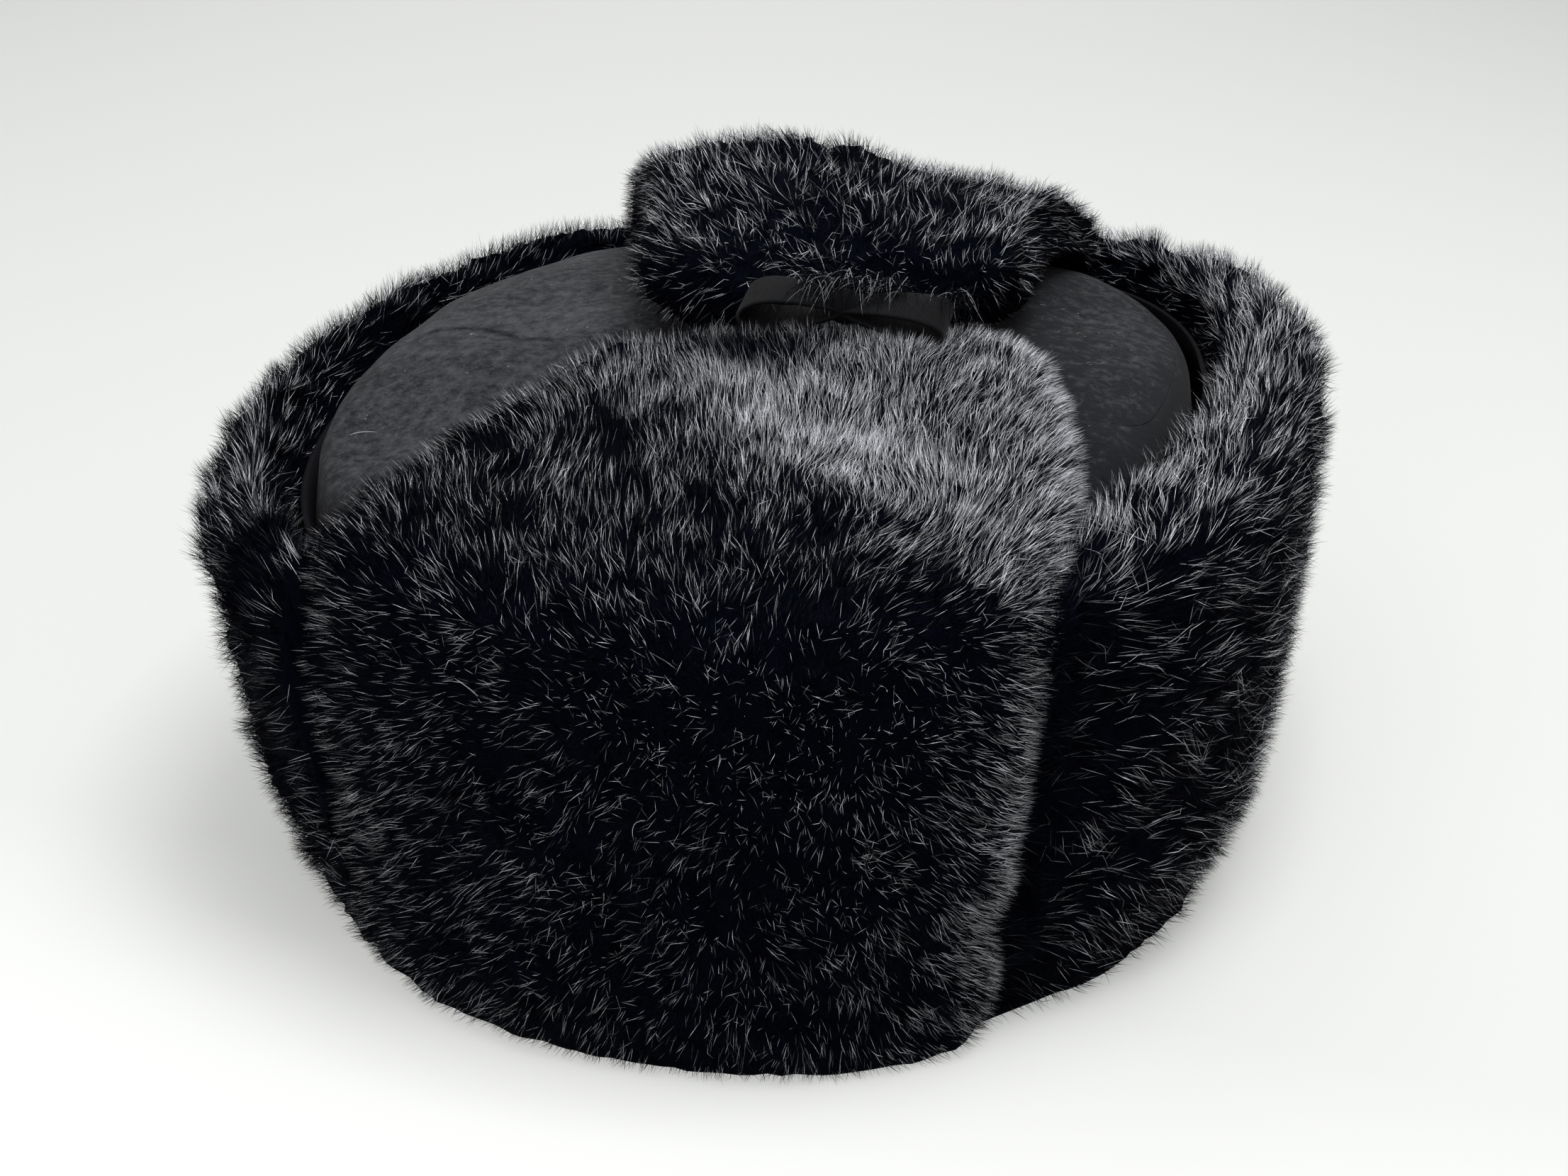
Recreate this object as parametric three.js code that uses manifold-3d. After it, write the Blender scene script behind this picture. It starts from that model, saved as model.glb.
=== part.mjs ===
// A black faux-fur ushanka resting on its rim. Its front flap is folded up over the crown,
// its ear and neck flaps are folded up round the sides and back, and the tongues of the two
// ear flaps are tied together on top of the crown with a ribbon.
// Units are millimetres, +Z is up, and the front of the hat looks along -Y.

import * as THREE from 'three';
import { mergeVertices } from 'three/addons/utils/BufferGeometryUtils.js';
import Module from 'manifold-3d';

const wasm = await Module();
wasm.setup();

// Fit and construction.
const gap = 0.3;                  // least clear space between pieces that touch
const pileGap = 2;                // clear space where fur has pushed fur or cloth aside
const clothThickness = 3;         // padded crown cloth with its lining
const facingThickness = 1.2;      // cloth on the inner side of the ear and neck flaps
const facingSpace = 0.9;          // from that cloth to the padded flap, and to the crown
const ovalPower = 2.3;            // a head oval, slightly squarer than an ellipse
const lockDepth = 6.5;            // from the root of a fur lock to its tip
const lockLean = 2.5;             // how far a lock's tip hangs along the nap
const lockSpread = 0.35;          // share of the depth that varies from lock to lock

// The crown's side, from the rim to the shoulder. Half sizes are to the outer face.
const crownSide = [
  { z: 0, halfWidth: 87, halfLength: 107, shift: 0 },
  { z: 30, halfWidth: 90, halfLength: 109, shift: -2 },
  { z: 60, halfWidth: 94.5, halfLength: 112, shift: -4.5 },
  { z: 86, halfWidth: 98.5, halfLength: 114, shift: -7 },
];

// The crown's dome, from the shoulder in to the middle. Reach is a share of the shoulder's radius.
const crownDome = [
  { reach: 0, front: 116, side: 116, back: 116 },
  { reach: 0.22, front: 112, side: 115.5, back: 115.5 },
  { reach: 0.45, front: 106, side: 113.5, back: 113.5 },
  { reach: 0.66, front: 101, side: 111.5, back: 111 },
  { reach: 0.82, front: 97.5, side: 109, back: 107 },
  { reach: 0.93, front: 94, side: 105, back: 102 },
  { reach: 0.985, front: 90, side: 98.5, back: 96 },
  { reach: 1, front: 84, side: 87, back: 86 },
];
const seamShoulder = 0.95;        // reach of the top panel's seam along the sides and back
const seamFront = 0.27;           // reach of the same seam where it crosses the front
const seamGap = 0.006;            // clear space along the seam, as a share of the reach
const crownColumns = 36;

// Soft folds and hollows pressed into the crown cloth.
const crownFolds = [
  { x: -66, y: -34, lift: 2.2, spread: 15 },
  { x: -30, y: -30, lift: -1.6, spread: 14 },
  { x: -84, y: 14, lift: 1.8, spread: 20 },
  { x: -74, y: -62, lift: -2.0, spread: 16 },
  { x: 60, y: 46, lift: -2.2, spread: 22 },
];

// The folded-up ear and neck flaps, as the tips of their fur stand round the hat.
const wallSide = [
  { up: 0, halfWidth: 110.5, back: 130, front: 129, shift: 0, thickness: 22.8 },
  { up: 0.15, halfWidth: 116.5, back: 135, front: 131, shift: -0.3, thickness: 21 },
  { up: 0.35, halfWidth: 120.5, back: 139, front: 133, shift: -0.6, thickness: 19.5 },
  { up: 0.6, halfWidth: 123.5, back: 143.5, front: 134.5, shift: -1, thickness: 19.5 },
  { up: 0.8, halfWidth: 125, back: 147.5, front: 135, shift: -1.5, thickness: 21 },
  { up: 1, halfWidth: 123, back: 146, front: 133.5, shift: -1.5, thickness: 22 },
];

// Height of the wall's top round the hat, and how much its top swells in over the crown.
// Angles run from +X towards the back.
const wallTop = [
  { angle: -70, height: 101, plump: 1, spill: 2 },
  { angle: -35, height: 109, plump: 6, spill: 8 },
  { angle: 0, height: 111, plump: 8, spill: 7 },
  { angle: 50, height: 111, plump: 8, spill: 2 },
  { angle: 90, height: 108, plump: 6, spill: 0 },
  { angle: 130, height: 106.5, plump: 3, spill: 0 },
  { angle: 175, height: 109, plump: 0, spill: 0 },
  { angle: 215, height: 103, plump: 0, spill: 0 },
  { angle: 250, height: 97, plump: 0, spill: 0 },
  { angle: 290, height: 96, plump: 2, spill: 0 },
];

// Rolls and waists of the padded wall.
const wallFolds = [
  { angle: 200, up: 0.86, reach: 5, spread: 30, rise: 0.14 },
  { angle: 208, up: 0.6, reach: -2, spread: 24, rise: 0.13 },
  { angle: 222, up: 0.5, reach: 6.5, spread: 20, rise: 0.5 },
  { angle: 160, up: 0.82, reach: 2.5, spread: 22, rise: 0.16 },
  { angle: 60, up: 0.82, reach: 2, spread: 24, rise: 0.16 },
  { angle: 20, up: 0.88, reach: 2, spread: 26, rise: 0.16 },
  { angle: -50, up: 0.5, reach: -6, spread: 13, rise: 0.9 },
  { angle: 105, up: 0.5, reach: -2.5, spread: 24, rise: 0.2 },
];
const wallStations = 34;          // steps of each flap from the front flap to the back seam
const flapEnds = {                // degrees from the front middle to each flap's end
  right: { rim: 33.4, top: 37.8 },
  left: { rim: 30, top: 31 },
};
const flapOuterRows = 11;         // rows of locks up a flap, over its rolled top, and rows inside
const flapRollRows = 6;
const flapInnerRows = 5;
const rollStart = 0.87;           // where the top starts to roll over, as a share of the height
const spillRise = 0.08;           // share of the height over which the roll leans in over the crown

// The front flap from its fold at the rim, up and back over the crown: tips of its fur at the
// middle, how far it reaches to each side, the half width of the head oval that its face
// follows and how fully it does, how far its sides fall, and how far it is turned
// (millimetres back for each millimetre to the right).
const frontFlapRows = [
  { y: -129, z: 0, left: 73, right: 78, oval: 110.5, round: 1, drop: 0, slant: 0, thickness: 22 },
  { y: -131, z: 22, left: 75, right: 82, oval: 115, round: 1, drop: 0, slant: 0, thickness: 22 },
  { y: -133, z: 50, left: 76, right: 86, oval: 119, round: 1, drop: 0, slant: 0, thickness: 23 },
  { y: -133, z: 76, left: 75, right: 89, oval: 123, round: 1.05, drop: 0, slant: 0, thickness: 24 },
  { y: -128, z: 96, left: 73, right: 90, oval: 125, round: 1.1, drop: 1, slant: 0.02, thickness: 24 },
  { y: -113, z: 108, left: 67, right: 89, oval: 125, round: 0.8, drop: 3, slant: 0.06, thickness: 21 },
  { y: -88, z: 116, left: 56, right: 86, oval: 125, round: 0.4, drop: 3, slant: 0.14, thickness: 19 },
  { y: -59, z: 122.5, left: 42, right: 77, oval: 125, round: 0.1, drop: 3, slant: 0.24, thickness: 19 },
  { y: -29, z: 127, left: 29, right: 60, oval: 125, round: 0, drop: 1, slant: 0.33, thickness: 18 },
];
const frontFlapSteps = 26;
const frontFlapAcross = 16;

// The tongues of the two ear flaps: the middle of the padded fur, its half width and half
// thickness, the compass direction of its width, and how far its front edge is tipped down.
const tongueLeftRows = [
  { x: -68, y: 108, z: 88, halfWidth: 23, halfThickness: 8, heading: 30, tip: 0 },
  { x: -65, y: 101, z: 103, halfWidth: 23, halfThickness: 9, heading: 30, tip: 0 },
  { x: -56, y: 86, z: 118, halfWidth: 23, halfThickness: 9, heading: 34, tip: 0 },
  { x: -43, y: 64, z: 129.5, halfWidth: 23, halfThickness: 10, heading: 42, tip: 4 },
  { x: -30, y: 39.5, z: 134.5, halfWidth: 25, halfThickness: 12, heading: 54, tip: 7 },
  { x: -14, y: 17, z: 131.5, halfWidth: 28, halfThickness: 13, heading: 64, tip: 8 },
  { x: 2, y: 3, z: 129, halfWidth: 29, halfThickness: 12, heading: 72, tip: 7 },
  { x: 11, y: -4, z: 124, halfWidth: 23, halfThickness: 8, heading: 76, tip: 3 },
];
const tongueRightRows = [
  { x: 26, y: 124, z: 88, halfWidth: 24, halfThickness: 8, heading: -10, tip: 0 },
  { x: 26, y: 116, z: 104, halfWidth: 25, halfThickness: 9, heading: -12, tip: 0 },
  { x: 26, y: 98, z: 116, halfWidth: 27, halfThickness: 9, heading: -14, tip: 0 },
  { x: 24, y: 74, z: 124, halfWidth: 28, halfThickness: 10, heading: -12, tip: 0 },
  { x: 22, y: 50, z: 129.5, halfWidth: 30, halfThickness: 11, heading: -8, tip: 0 },
  { x: 22, y: 28, z: 130.5, halfWidth: 32, halfThickness: 12, heading: 0, tip: 0 },
  { x: 22, y: 8, z: 128, halfWidth: 32, halfThickness: 11, heading: 10, tip: 0 },
  { x: 23, y: -8, z: 123.5, halfWidth: 29, halfThickness: 8, heading: 16, tip: 0 },
];
const tongueSteps = 18;
const tongueAcross = 8;

// The ribbon bow that ties the tongues, lying at their front.
const ribbonWidth = 9;
const ribbonThickness = 1.2;
const knotSize = { x: 9, y: 6, z: 8 };
const bowPlace = { x: 21, y: -26, z: 129.6, heading: 1 };
const bowPocket = { x: 50, y: 9.8, z: 10 };   // hollow that the bow presses into the fur
const bowLoops = [
  { turn: 176, length: 23, opening: 9, lean: -3 },
  { turn: -6, length: 23.5, opening: 6, lean: 1 },
];
const bowSteps = 14;

const degrees = Math.PI / 180;
const mix = (a, b, share) => a + (b - a) * share;
const clamp = (value, low, high) => Math.min(high, Math.max(low, value));

// Smooth interpolation through the rows of a table, keyed by one column.
function along(table, key, at, column) {
  const last = table.length - 1;
  let i = 0;
  while (i < last - 1 && at > table[i + 1][key]) i += 1;
  const row = (k) => table[clamp(k, 0, last)];
  const span = row(i + 1)[key] - row(i)[key];
  const t = clamp((at - row(i)[key]) / span, 0, 1);
  const slope = (k) => {
    const width = row(k + 1)[key] - row(k - 1)[key];
    return width ? ((row(k + 1)[column] - row(k - 1)[column]) / width) * span : 0;
  };
  const a = row(i)[column];
  const b = row(i + 1)[column];
  const h = t * t * (3 - 2 * t);
  return mix(a, b, h) + t * (1 - t) * ((1 - t) * slope(i) - t * slope(i + 1));
}

// The same for a table without a key: rows are evenly spaced in a parameter from 0 to 1.
function through(table, share, column) {
  const keyed = table.map((row, k) => ({ ...row, place: k / (table.length - 1) }));
  return along(keyed, 'place', share, column);
}

// Radius of a squarish oval in a direction given in degrees.
function ovalRadius(angle, halfWidth, halfLength) {
  const across = Math.abs(Math.cos(angle * degrees)) / halfWidth;
  const lengthwise = Math.abs(Math.sin(angle * degrees)) / halfLength;
  return (across ** ovalPower + lengthwise ** ovalPower) ** (-1 / ovalPower);
}

// A repeatable value from 0 to 1 for each lock of fur.
function scatter(i, j) {
  const wave = Math.sin(i * 12.9898 + j * 78.233) * 43758.5453;
  return wave - Math.floor(wave);
}

// A closed skin over a grid of points. Rows may form a loop or be capped at both ends by a
// ladder of faces between the two sides of the column loop. Diagonals join the lock roots.
function skin(rows, columns, pointAt, { loopRows = false } = {}) {
  const positions = [];
  for (let i = 0; i < rows; i += 1) {
    for (let j = 0; j < columns; j += 1) positions.push(...pointAt(i, j).toArray());
  }
  const at = (i, j) => (i % rows) * columns + ((j + columns) % columns);
  const triangles = [];
  for (let i = 0; i < (loopRows ? rows : rows - 1); i += 1) {
    for (let j = 0; j < columns; j += 1) {
      const corners = [at(i, j), at(i + 1, j), at(i + 1, j + 1), at(i, j + 1)];
      const first = (i + j) % 2 === 0 ? 1 : 0;
      const [a, b, c, d] = [0, 1, 2, 3].map((k) => corners[(k + first) % 4]);
      triangles.push([a, b, c], [a, c, d]);
    }
  }
  if (!loopRows) {
    for (let j = 0; j < columns / 2; j += 1) {
      for (const [row, flip] of [[0, false], [rows - 1, true]]) {
        const ladder = [at(row, j), at(row, j + 1), at(row, columns - j - 1), at(row, columns - j)];
        const [a, b, c, d] = flip ? ladder.reverse() : ladder;
        triangles.push([a, b, c], [a, c, d]);
      }
    }
  }
  return closedGeometry(positions, triangles);
}

// Merges points that coincide, drops faces that have collapsed, and turns every face outwards.
function closedGeometry(positions, triangles) {
  const loose = new THREE.BufferGeometry();
  loose.setAttribute('position', new THREE.Float32BufferAttribute(positions, 3));
  loose.setIndex(triangles.flat());
  const merged = mergeVertices(loose, 1e-4);
  const index = merged.getIndex().array;
  const place = merged.getAttribute('position');
  const corner = [new THREE.Vector3(), new THREE.Vector3(), new THREE.Vector3()];
  const kept = [];
  let volume = 0;
  for (let k = 0; k < index.length; k += 3) {
    const face = [index[k], index[k + 1], index[k + 2]];
    if (new Set(face).size < 3) continue;
    kept.push(face);
    face.forEach((v, c) => corner[c].fromBufferAttribute(place, v));
    volume += corner[0].dot(corner[1].clone().cross(corner[2]));
  }
  if (volume < 0) kept.forEach((face) => face.reverse());
  merged.setIndex(kept.flat());
  return merged;
}

function solid(geometry) {
  return new wasm.Manifold(new wasm.Mesh({
    numProp: 3,
    vertProperties: geometry.getAttribute('position').array,
    triVerts: Uint32Array.from(geometry.getIndex().array),
  }));
}

function geometryOf(manifold) {
  const { vertProperties, triVerts } = manifold.getMesh();
  const geometry = new THREE.BufferGeometry();
  geometry.setAttribute('position', new THREE.Float32BufferAttribute(vertProperties, 3));
  geometry.setIndex(Array.from(triVerts));
  return geometry;
}

// Outward direction of a surface whose two parameters are stepped a little each way.
function facing(surface, u, v, outward) {
  const step = 0.004;
  const alongU = surface(u + step, v).sub(surface(u - step, v));
  const alongV = surface(u, v + step).sub(surface(u, v - step));
  const normal = alongU.cross(alongV);
  if (normal.lengthSq() === 0) return outward.clone().normalize();
  normal.normalize();
  return normal.dot(outward) < 0 ? normal.negate() : normal;
}

// Every second grid point is the tip of a lock, on the outer form. The points between are the
// roots, set back from it. Tips hang along the nap.
function lockPoint(tip, normal, nap, amount, i, j) {
  const depth = lockDepth * amount * (1 - lockSpread * scatter(i, j));
  if ((i + j) % 2) return tip.addScaledVector(normal, -depth);
  return tip.addScaledVector(nap, lockLean * amount * scatter(j, i))
    .addScaledVector(normal, -lockSpread * lockDepth * amount * scatter(i, j + 7));
}

// The crown, as a form that can be grown by a clearance.
function crownSidePoint(angle, z, grow = 0) {
  const radius = ovalRadius(angle, along(crownSide, 'z', z, 'halfWidth'),
    along(crownSide, 'z', z, 'halfLength')) + grow;
  return new THREE.Vector3(along(crownSide, 'z', z, 'shift') + radius * Math.cos(angle * degrees),
    radius * Math.sin(angle * degrees), z);
}

// Distance from the middle of the hat to the crown's side, in a direction from that middle.
function crownRadius(angle, z) {
  const height = Math.min(z, crownSide.at(-1).z);
  let turned = angle;
  let point = crownSidePoint(turned, height);
  for (let k = 0; k < 4; k += 1) {
    const seen = Math.atan2(point.y, point.x) / degrees;
    turned += ((angle - seen + 540) % 360) - 180;
    point = crownSidePoint(turned, height);
  }
  return Math.hypot(point.x, point.y);
}

function crownDomePoint(angle, reach, grow = 0) {
  const shoulder = crownSide.at(-1);
  const sine = Math.sin(angle * degrees);
  const frontShare = Math.max(0, -sine) ** 2;
  const backShare = Math.max(0, sine) ** 2;
  const height = (column) => along(crownDome, 'reach', reach, column);
  const z = height('side') * (1 - frontShare - backShare) + height('front') * frontShare
    + height('back') * backShare;
  const radius = ovalRadius(angle, shoulder.halfWidth, shoulder.halfLength) * reach
    + grow * Math.min(1, reach * 1.5);
  const point = new THREE.Vector3(shoulder.shift + radius * Math.cos(angle * degrees), radius * sine, z);
  for (const fold of crownFolds) {
    const away = Math.hypot(point.x - fold.x, point.y - fold.y) / fold.spread;
    point.z += fold.lift * Math.exp(-away * away) * Math.min(1, (1 - reach) * 12);
  }
  point.z += grow * Math.min(1, (1 - reach) * 12);
  return point;
}

// Reach of the seam round the top panel: straight across the front, on the shoulder elsewhere.
function seamReach(angle) {
  const forward = Math.max(1e-3, -Math.sin(angle * degrees));
  const sharpness = 4;
  return ((seamFront / forward) ** -sharpness + seamShoulder ** -sharpness) ** (-1 / sharpness);
}

const crownSideRows = 4;
const crownSlopeRows = 5;
const crownTopRows = 5;

// Points up the outer face for one angle: band rows first, then the slope up to the seam.
function bandProfile(angle, grow) {
  const rim = crownSide[0].z;
  const shoulder = crownSide.at(-1).z;
  const seam = seamReach(angle);
  const points = [];
  for (let k = 0; k <= crownSideRows; k += 1) {
    points.push(crownSidePoint(angle, mix(rim, shoulder - 6, k / crownSideRows), grow));
  }
  for (let k = 0; k <= crownSlopeRows; k += 1) {
    const share = (k / crownSlopeRows) ** 1.35;
    const reach = mix(1, seam + seamGap / 2, share);
    points.push(crownDomePoint(angle, reach, grow));
  }
  return points;
}

function topProfile(angle, grow) {
  const seam = seamReach(angle) - seamGap / 2;
  const points = [];
  for (let k = 0; k <= crownTopRows; k += 1) {
    const reach = seam * (1 - k / crownTopRows);
    points.push(k === crownTopRows ? crownDomePoint(90, 0, grow) : crownDomePoint(angle, reach, grow));
  }
  return points;
}

const crownAngle = (i) => (360 * i) / crownColumns;

function crownBand() {
  const sections = [];
  for (let i = 0; i < crownColumns; i += 1) {
    const outer = bandProfile(crownAngle(i), 0);
    const inner = bandProfile(crownAngle(i), -clothThickness).reverse();
    sections.push([...outer, ...inner]);
  }
  return skin(crownColumns, sections[0].length, (i, j) => sections[i][j], { loopRows: true });
}

function crownTop() {
  const sections = [];
  for (let i = 0; i < crownColumns; i += 1) {
    const outer = topProfile(crownAngle(i), 0).reverse();
    const inner = topProfile(crownAngle(i), -clothThickness);
    sections.push([...outer, ...inner]);
  }
  const rows = sections[0].length;
  return lathed(rows, crownColumns, (row, i) => sections[i][row]);
}

// The crown as one filled form, grown by the clearance, for trimming what lies against it.
function crownForm(clearance) {
  const sections = [];
  for (let i = 0; i < crownColumns; i += 1) {
    const outer = [...bandProfile(crownAngle(i), clearance), ...topProfile(crownAngle(i), clearance)];
    const foot = outer[0].clone().setZ(-5);
    sections.push([new THREE.Vector3(0, 0, -5), foot, ...outer]);
  }
  return solid(lathed(sections[0].length, crownColumns, (row, i) => sections[i][row]));
}

// A skin of rings about a middle, whose first and last rings have shrunk to points.
function lathed(rows, columns, pointAt) {
  const positions = [];
  for (let i = 0; i < rows; i += 1) {
    for (let j = 0; j < columns; j += 1) positions.push(...pointAt(i, j).toArray());
  }
  const at = (i, j) => i * columns + (j % columns);
  const triangles = [];
  for (let i = 0; i < rows - 1; i += 1) {
    for (let j = 0; j < columns; j += 1) {
      triangles.push([at(i, j), at(i + 1, j), at(i + 1, j + 1)], [at(i, j), at(i + 1, j + 1), at(i, j + 1)]);
    }
  }
  return closedGeometry(positions, triangles);
}

// Height of each row down the inner face of a flap, as a share of the wall's height.
const innerRow = (k) => rollStart * (1 - k / flapInnerRows);

// One section of a folded-up flap as a loop of places: across runs from the inner face (0) to
// the fur tips (1), up from the rim (0) to the top (1), and fur says how much lock it carries.
function flapSection() {
  const loop = [];
  for (let k = 0; k <= flapOuterRows; k += 1) {
    loop.push({ across: 1, up: (rollStart * k) / flapOuterRows, fur: Math.min(1, k * 0.6) });
  }
  for (let k = 1; k <= flapRollRows; k += 1) {
    const turn = (Math.PI * k) / (flapRollRows + 1);
    loop.push({
      across: 0.5 + 0.5 * Math.cos(turn),
      up: rollStart + (1 - rollStart) * Math.sin(turn),
      fur: k < flapRollRows ? 1 : 0.5,
    });
  }
  for (let k = 0; k <= flapInnerRows; k += 1) {
    loop.push({ across: 0, up: innerRow(k), fur: 0 });
  }
  loop.push({ across: 0.35, up: 0, fur: 0 }, { across: 0.7, up: 0, fur: 0 });
  return loop;
}

// A point of the wall. Side is +1 for the right flap and -1 for the left.
function wallAngle(side, share, up) {
  const end = side > 0 ? flapEnds.right : flapEnds.left;
  const edge = mix(end.rim, end.top, up);
  return side > 0 ? mix(-90 + edge, 90, share) : mix(270 - edge, 90, share);
}

function wallPoint(angle, across, up) {
  const turned = ((angle + 430) % 360) - 70;
  const height = along(wallTop, 'angle', turned, 'height');
  const z = up * height;
  const side = (column) => along(wallSide, 'up', up, column);
  const backShare = 0.5 + 0.5 * clamp(Math.sin(angle * degrees) * 2.2, -1, 1);
  let reach = ovalRadius(angle, side('halfWidth'), mix(side('front'), side('back'), backShare))
    + side('shift') * Math.cos(angle * degrees);
  let swell = 0;
  for (const fold of wallFolds) {
    const turn = ((angle - fold.angle + 540) % 360) - 180;
    swell += fold.reach * Math.exp(-((turn / fold.spread) ** 2) - ((up - fold.up) / fold.rise) ** 2);
  }
  reach += swell;
  const direction = new THREE.Vector3(Math.cos(angle * degrees), Math.sin(angle * degrees), 0);
  const outer = direction.clone().multiplyScalar(reach).setZ(z);
  const plump = along(wallTop, 'angle', turned, 'plump') * clamp((up - 0.5) / 0.35, 0, 1) ** 2;
  const thickness = side('thickness') + plump + Math.max(0, swell);
  const lined = clamp(up / innerRow(flapInnerRows - 1), 0, 1);
  const clearance = mix(2 * gap, 2 * facingSpace + facingThickness + 3 * gap, lined);
  const spill = along(wallTop, 'angle', turned, 'spill') * clamp((up - rollStart) / spillRise, 0, 1);
  const inner = direction.clone().multiplyScalar(
    Math.max(reach - thickness, crownRadius(angle, z) + clearance) - spill).setZ(z);
  return inner.lerp(outer, across);
}

function flapWall(side) {
  const section = flapSection();
  const down = new THREE.Vector3(0, 0, -1);
  return skin(wallStations + 1, section.length, (i, j) => {
    const { across, up, fur } = section[j];
    const share = i / wallStations;
    const angle = wallAngle(side, share, up);
    const shifted = angle - side * (i === wallStations ? gap / 2 / 2.4 : 0);
    const tip = wallPoint(shifted, across, up);
    const ends = Math.min(1, (wallStations - i) / 2);
    const amount = fur * ends;
    if (amount === 0) return tip;
    const direction = new THREE.Vector3(Math.cos(angle * degrees), Math.sin(angle * degrees), 0);
    const onTop = clamp((up - 0.8) / 0.15, 0, 1);
    const normal = direction.clone().multiplyScalar(mix(1, 2 * across - 1, onTop));
    normal.add(new THREE.Vector3(0, 0, 1.1 * onTop)).normalize();
    const nap = down.clone().multiplyScalar(1 - onTop);
    const point = lockPoint(tip, normal, nap, amount, i, j);
    return point.setZ(Math.max(0, point.z));
  });
}

// The cloth facing on the inner side of a flap, up to where the fur rolls over the top.
function flapFacing(side) {
  const rows = flapInnerRows;
  const stations = wallStations / 2;
  return skin(stations, 2 * rows, (i, j) => {
    const inside = j >= rows;
    const up = innerRow(inside ? 2 * rows - 1 - j : j);
    const point = wallPoint(wallAngle(side, (i + 1) / stations, up), 0, up);
    const depth = facingSpace + (inside ? facingThickness : 0);
    const endGap = i === stations - 1 ? gap : 0;
    const shrink = 1 - depth / Math.hypot(point.x, point.y);
    return new THREE.Vector3(point.x * shrink + side * endGap, point.y * shrink, point.z);
  });
}

// A loop of places round a padded sheet: u across its width, t from its back (-1) to its face (1).
function padLoop(faceSteps, backSteps) {
  const loop = [];
  const corner = 0.92;
  for (let k = 0; k <= faceSteps; k += 1) loop.push({ u: mix(-corner, corner, k / faceSteps), t: 1, fur: 1 });
  loop.push({ u: 1, t: 0.5, fur: 1 }, { u: 1, t: -0.4, fur: 0.6 });
  for (let k = 0; k <= backSteps; k += 1) loop.push({ u: mix(corner, -corner, k / backSteps), t: -1, fur: 0 });
  loop.push({ u: -1, t: -0.4, fur: 0.6 }, { u: -1, t: 0.5, fur: 1 });
  return loop;
}

// A point of the front flap's face of fur tips, share from the rim to its free end.
function frontFlapFace(share, u) {
  const row = (column) => through(frontFlapRows, share, column);
  const reach = u < 0 ? row('left') : row('right');
  const x = u * reach;
  const curve = 1 - (1 - Math.abs(x / row('oval')) ** ovalPower) ** (1 / ovalPower);
  const back = wallSide[0].front * curve * row('round') + row('slant') * x;
  return new THREE.Vector3(x, row('y') + back, row('z') - row('drop') * Math.abs(u) ** 2.2);
}

function frontFlapPoint(share, u, t, grow = 0) {
  const held = clamp(share, 0.004, 0.996);
  const face = frontFlapFace(share, u * (1 + grow / 80));
  const outward = new THREE.Vector3(0, -1, 0.4);
  const normal = facing(frontFlapFace, held, clamp(u, -0.99, 0.99), outward);
  if (face.z < 20) normal.setZ(normal.z * face.z / 20).normalize();
  const thickness = through(frontFlapRows, share, 'thickness') + grow;
  const edge = 1 - Math.max(0, (Math.abs(u) - 0.86) / 0.14) ** 2 * 0.25;
  return face.addScaledVector(normal, grow - (thickness * (1 - t)) / 2 - thickness * (1 - edge) * t * 0.5);
}

function frontFlap(grow) {
  const loop = padLoop(frontFlapAcross, 6);
  const furry = grow === 0;
  const down = new THREE.Vector3(0, 0, -1);
  return skin(frontFlapSteps + 1, loop.length, (i, j) => {
    const { u, t, fur } = loop[j];
    const share = i / frontFlapSteps;
    const endTuck = i > frontFlapSteps - 1 ? 0.55 : 1;
    const point = frontFlapPoint(share, u * mix(1, 0.93, endTuck < 1 ? 1 : 0), t * endTuck, grow);
    const outward = new THREE.Vector3(0, -1, 0.4);
    const amount = furry ? fur * Math.min(1, i * 0.5) : 0;
    if (amount > 0) {
      const sideways = new THREE.Vector3(Math.sign(u) * Math.max(0, Math.abs(u) - 0.9) * 10, 0, 0);
      const normal = facing(frontFlapFace, clamp(share, 0.01, 0.99), clamp(u, -0.98, 0.98), outward)
        .multiplyScalar(Math.max(0.05, t)).add(sideways).normalize();
      lockPoint(point, normal, down, amount, i, j);
    }
    return point.setZ(Math.max(grow > 0 ? -4 * (i === 0) : 0, point.z));
  });
}

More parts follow.
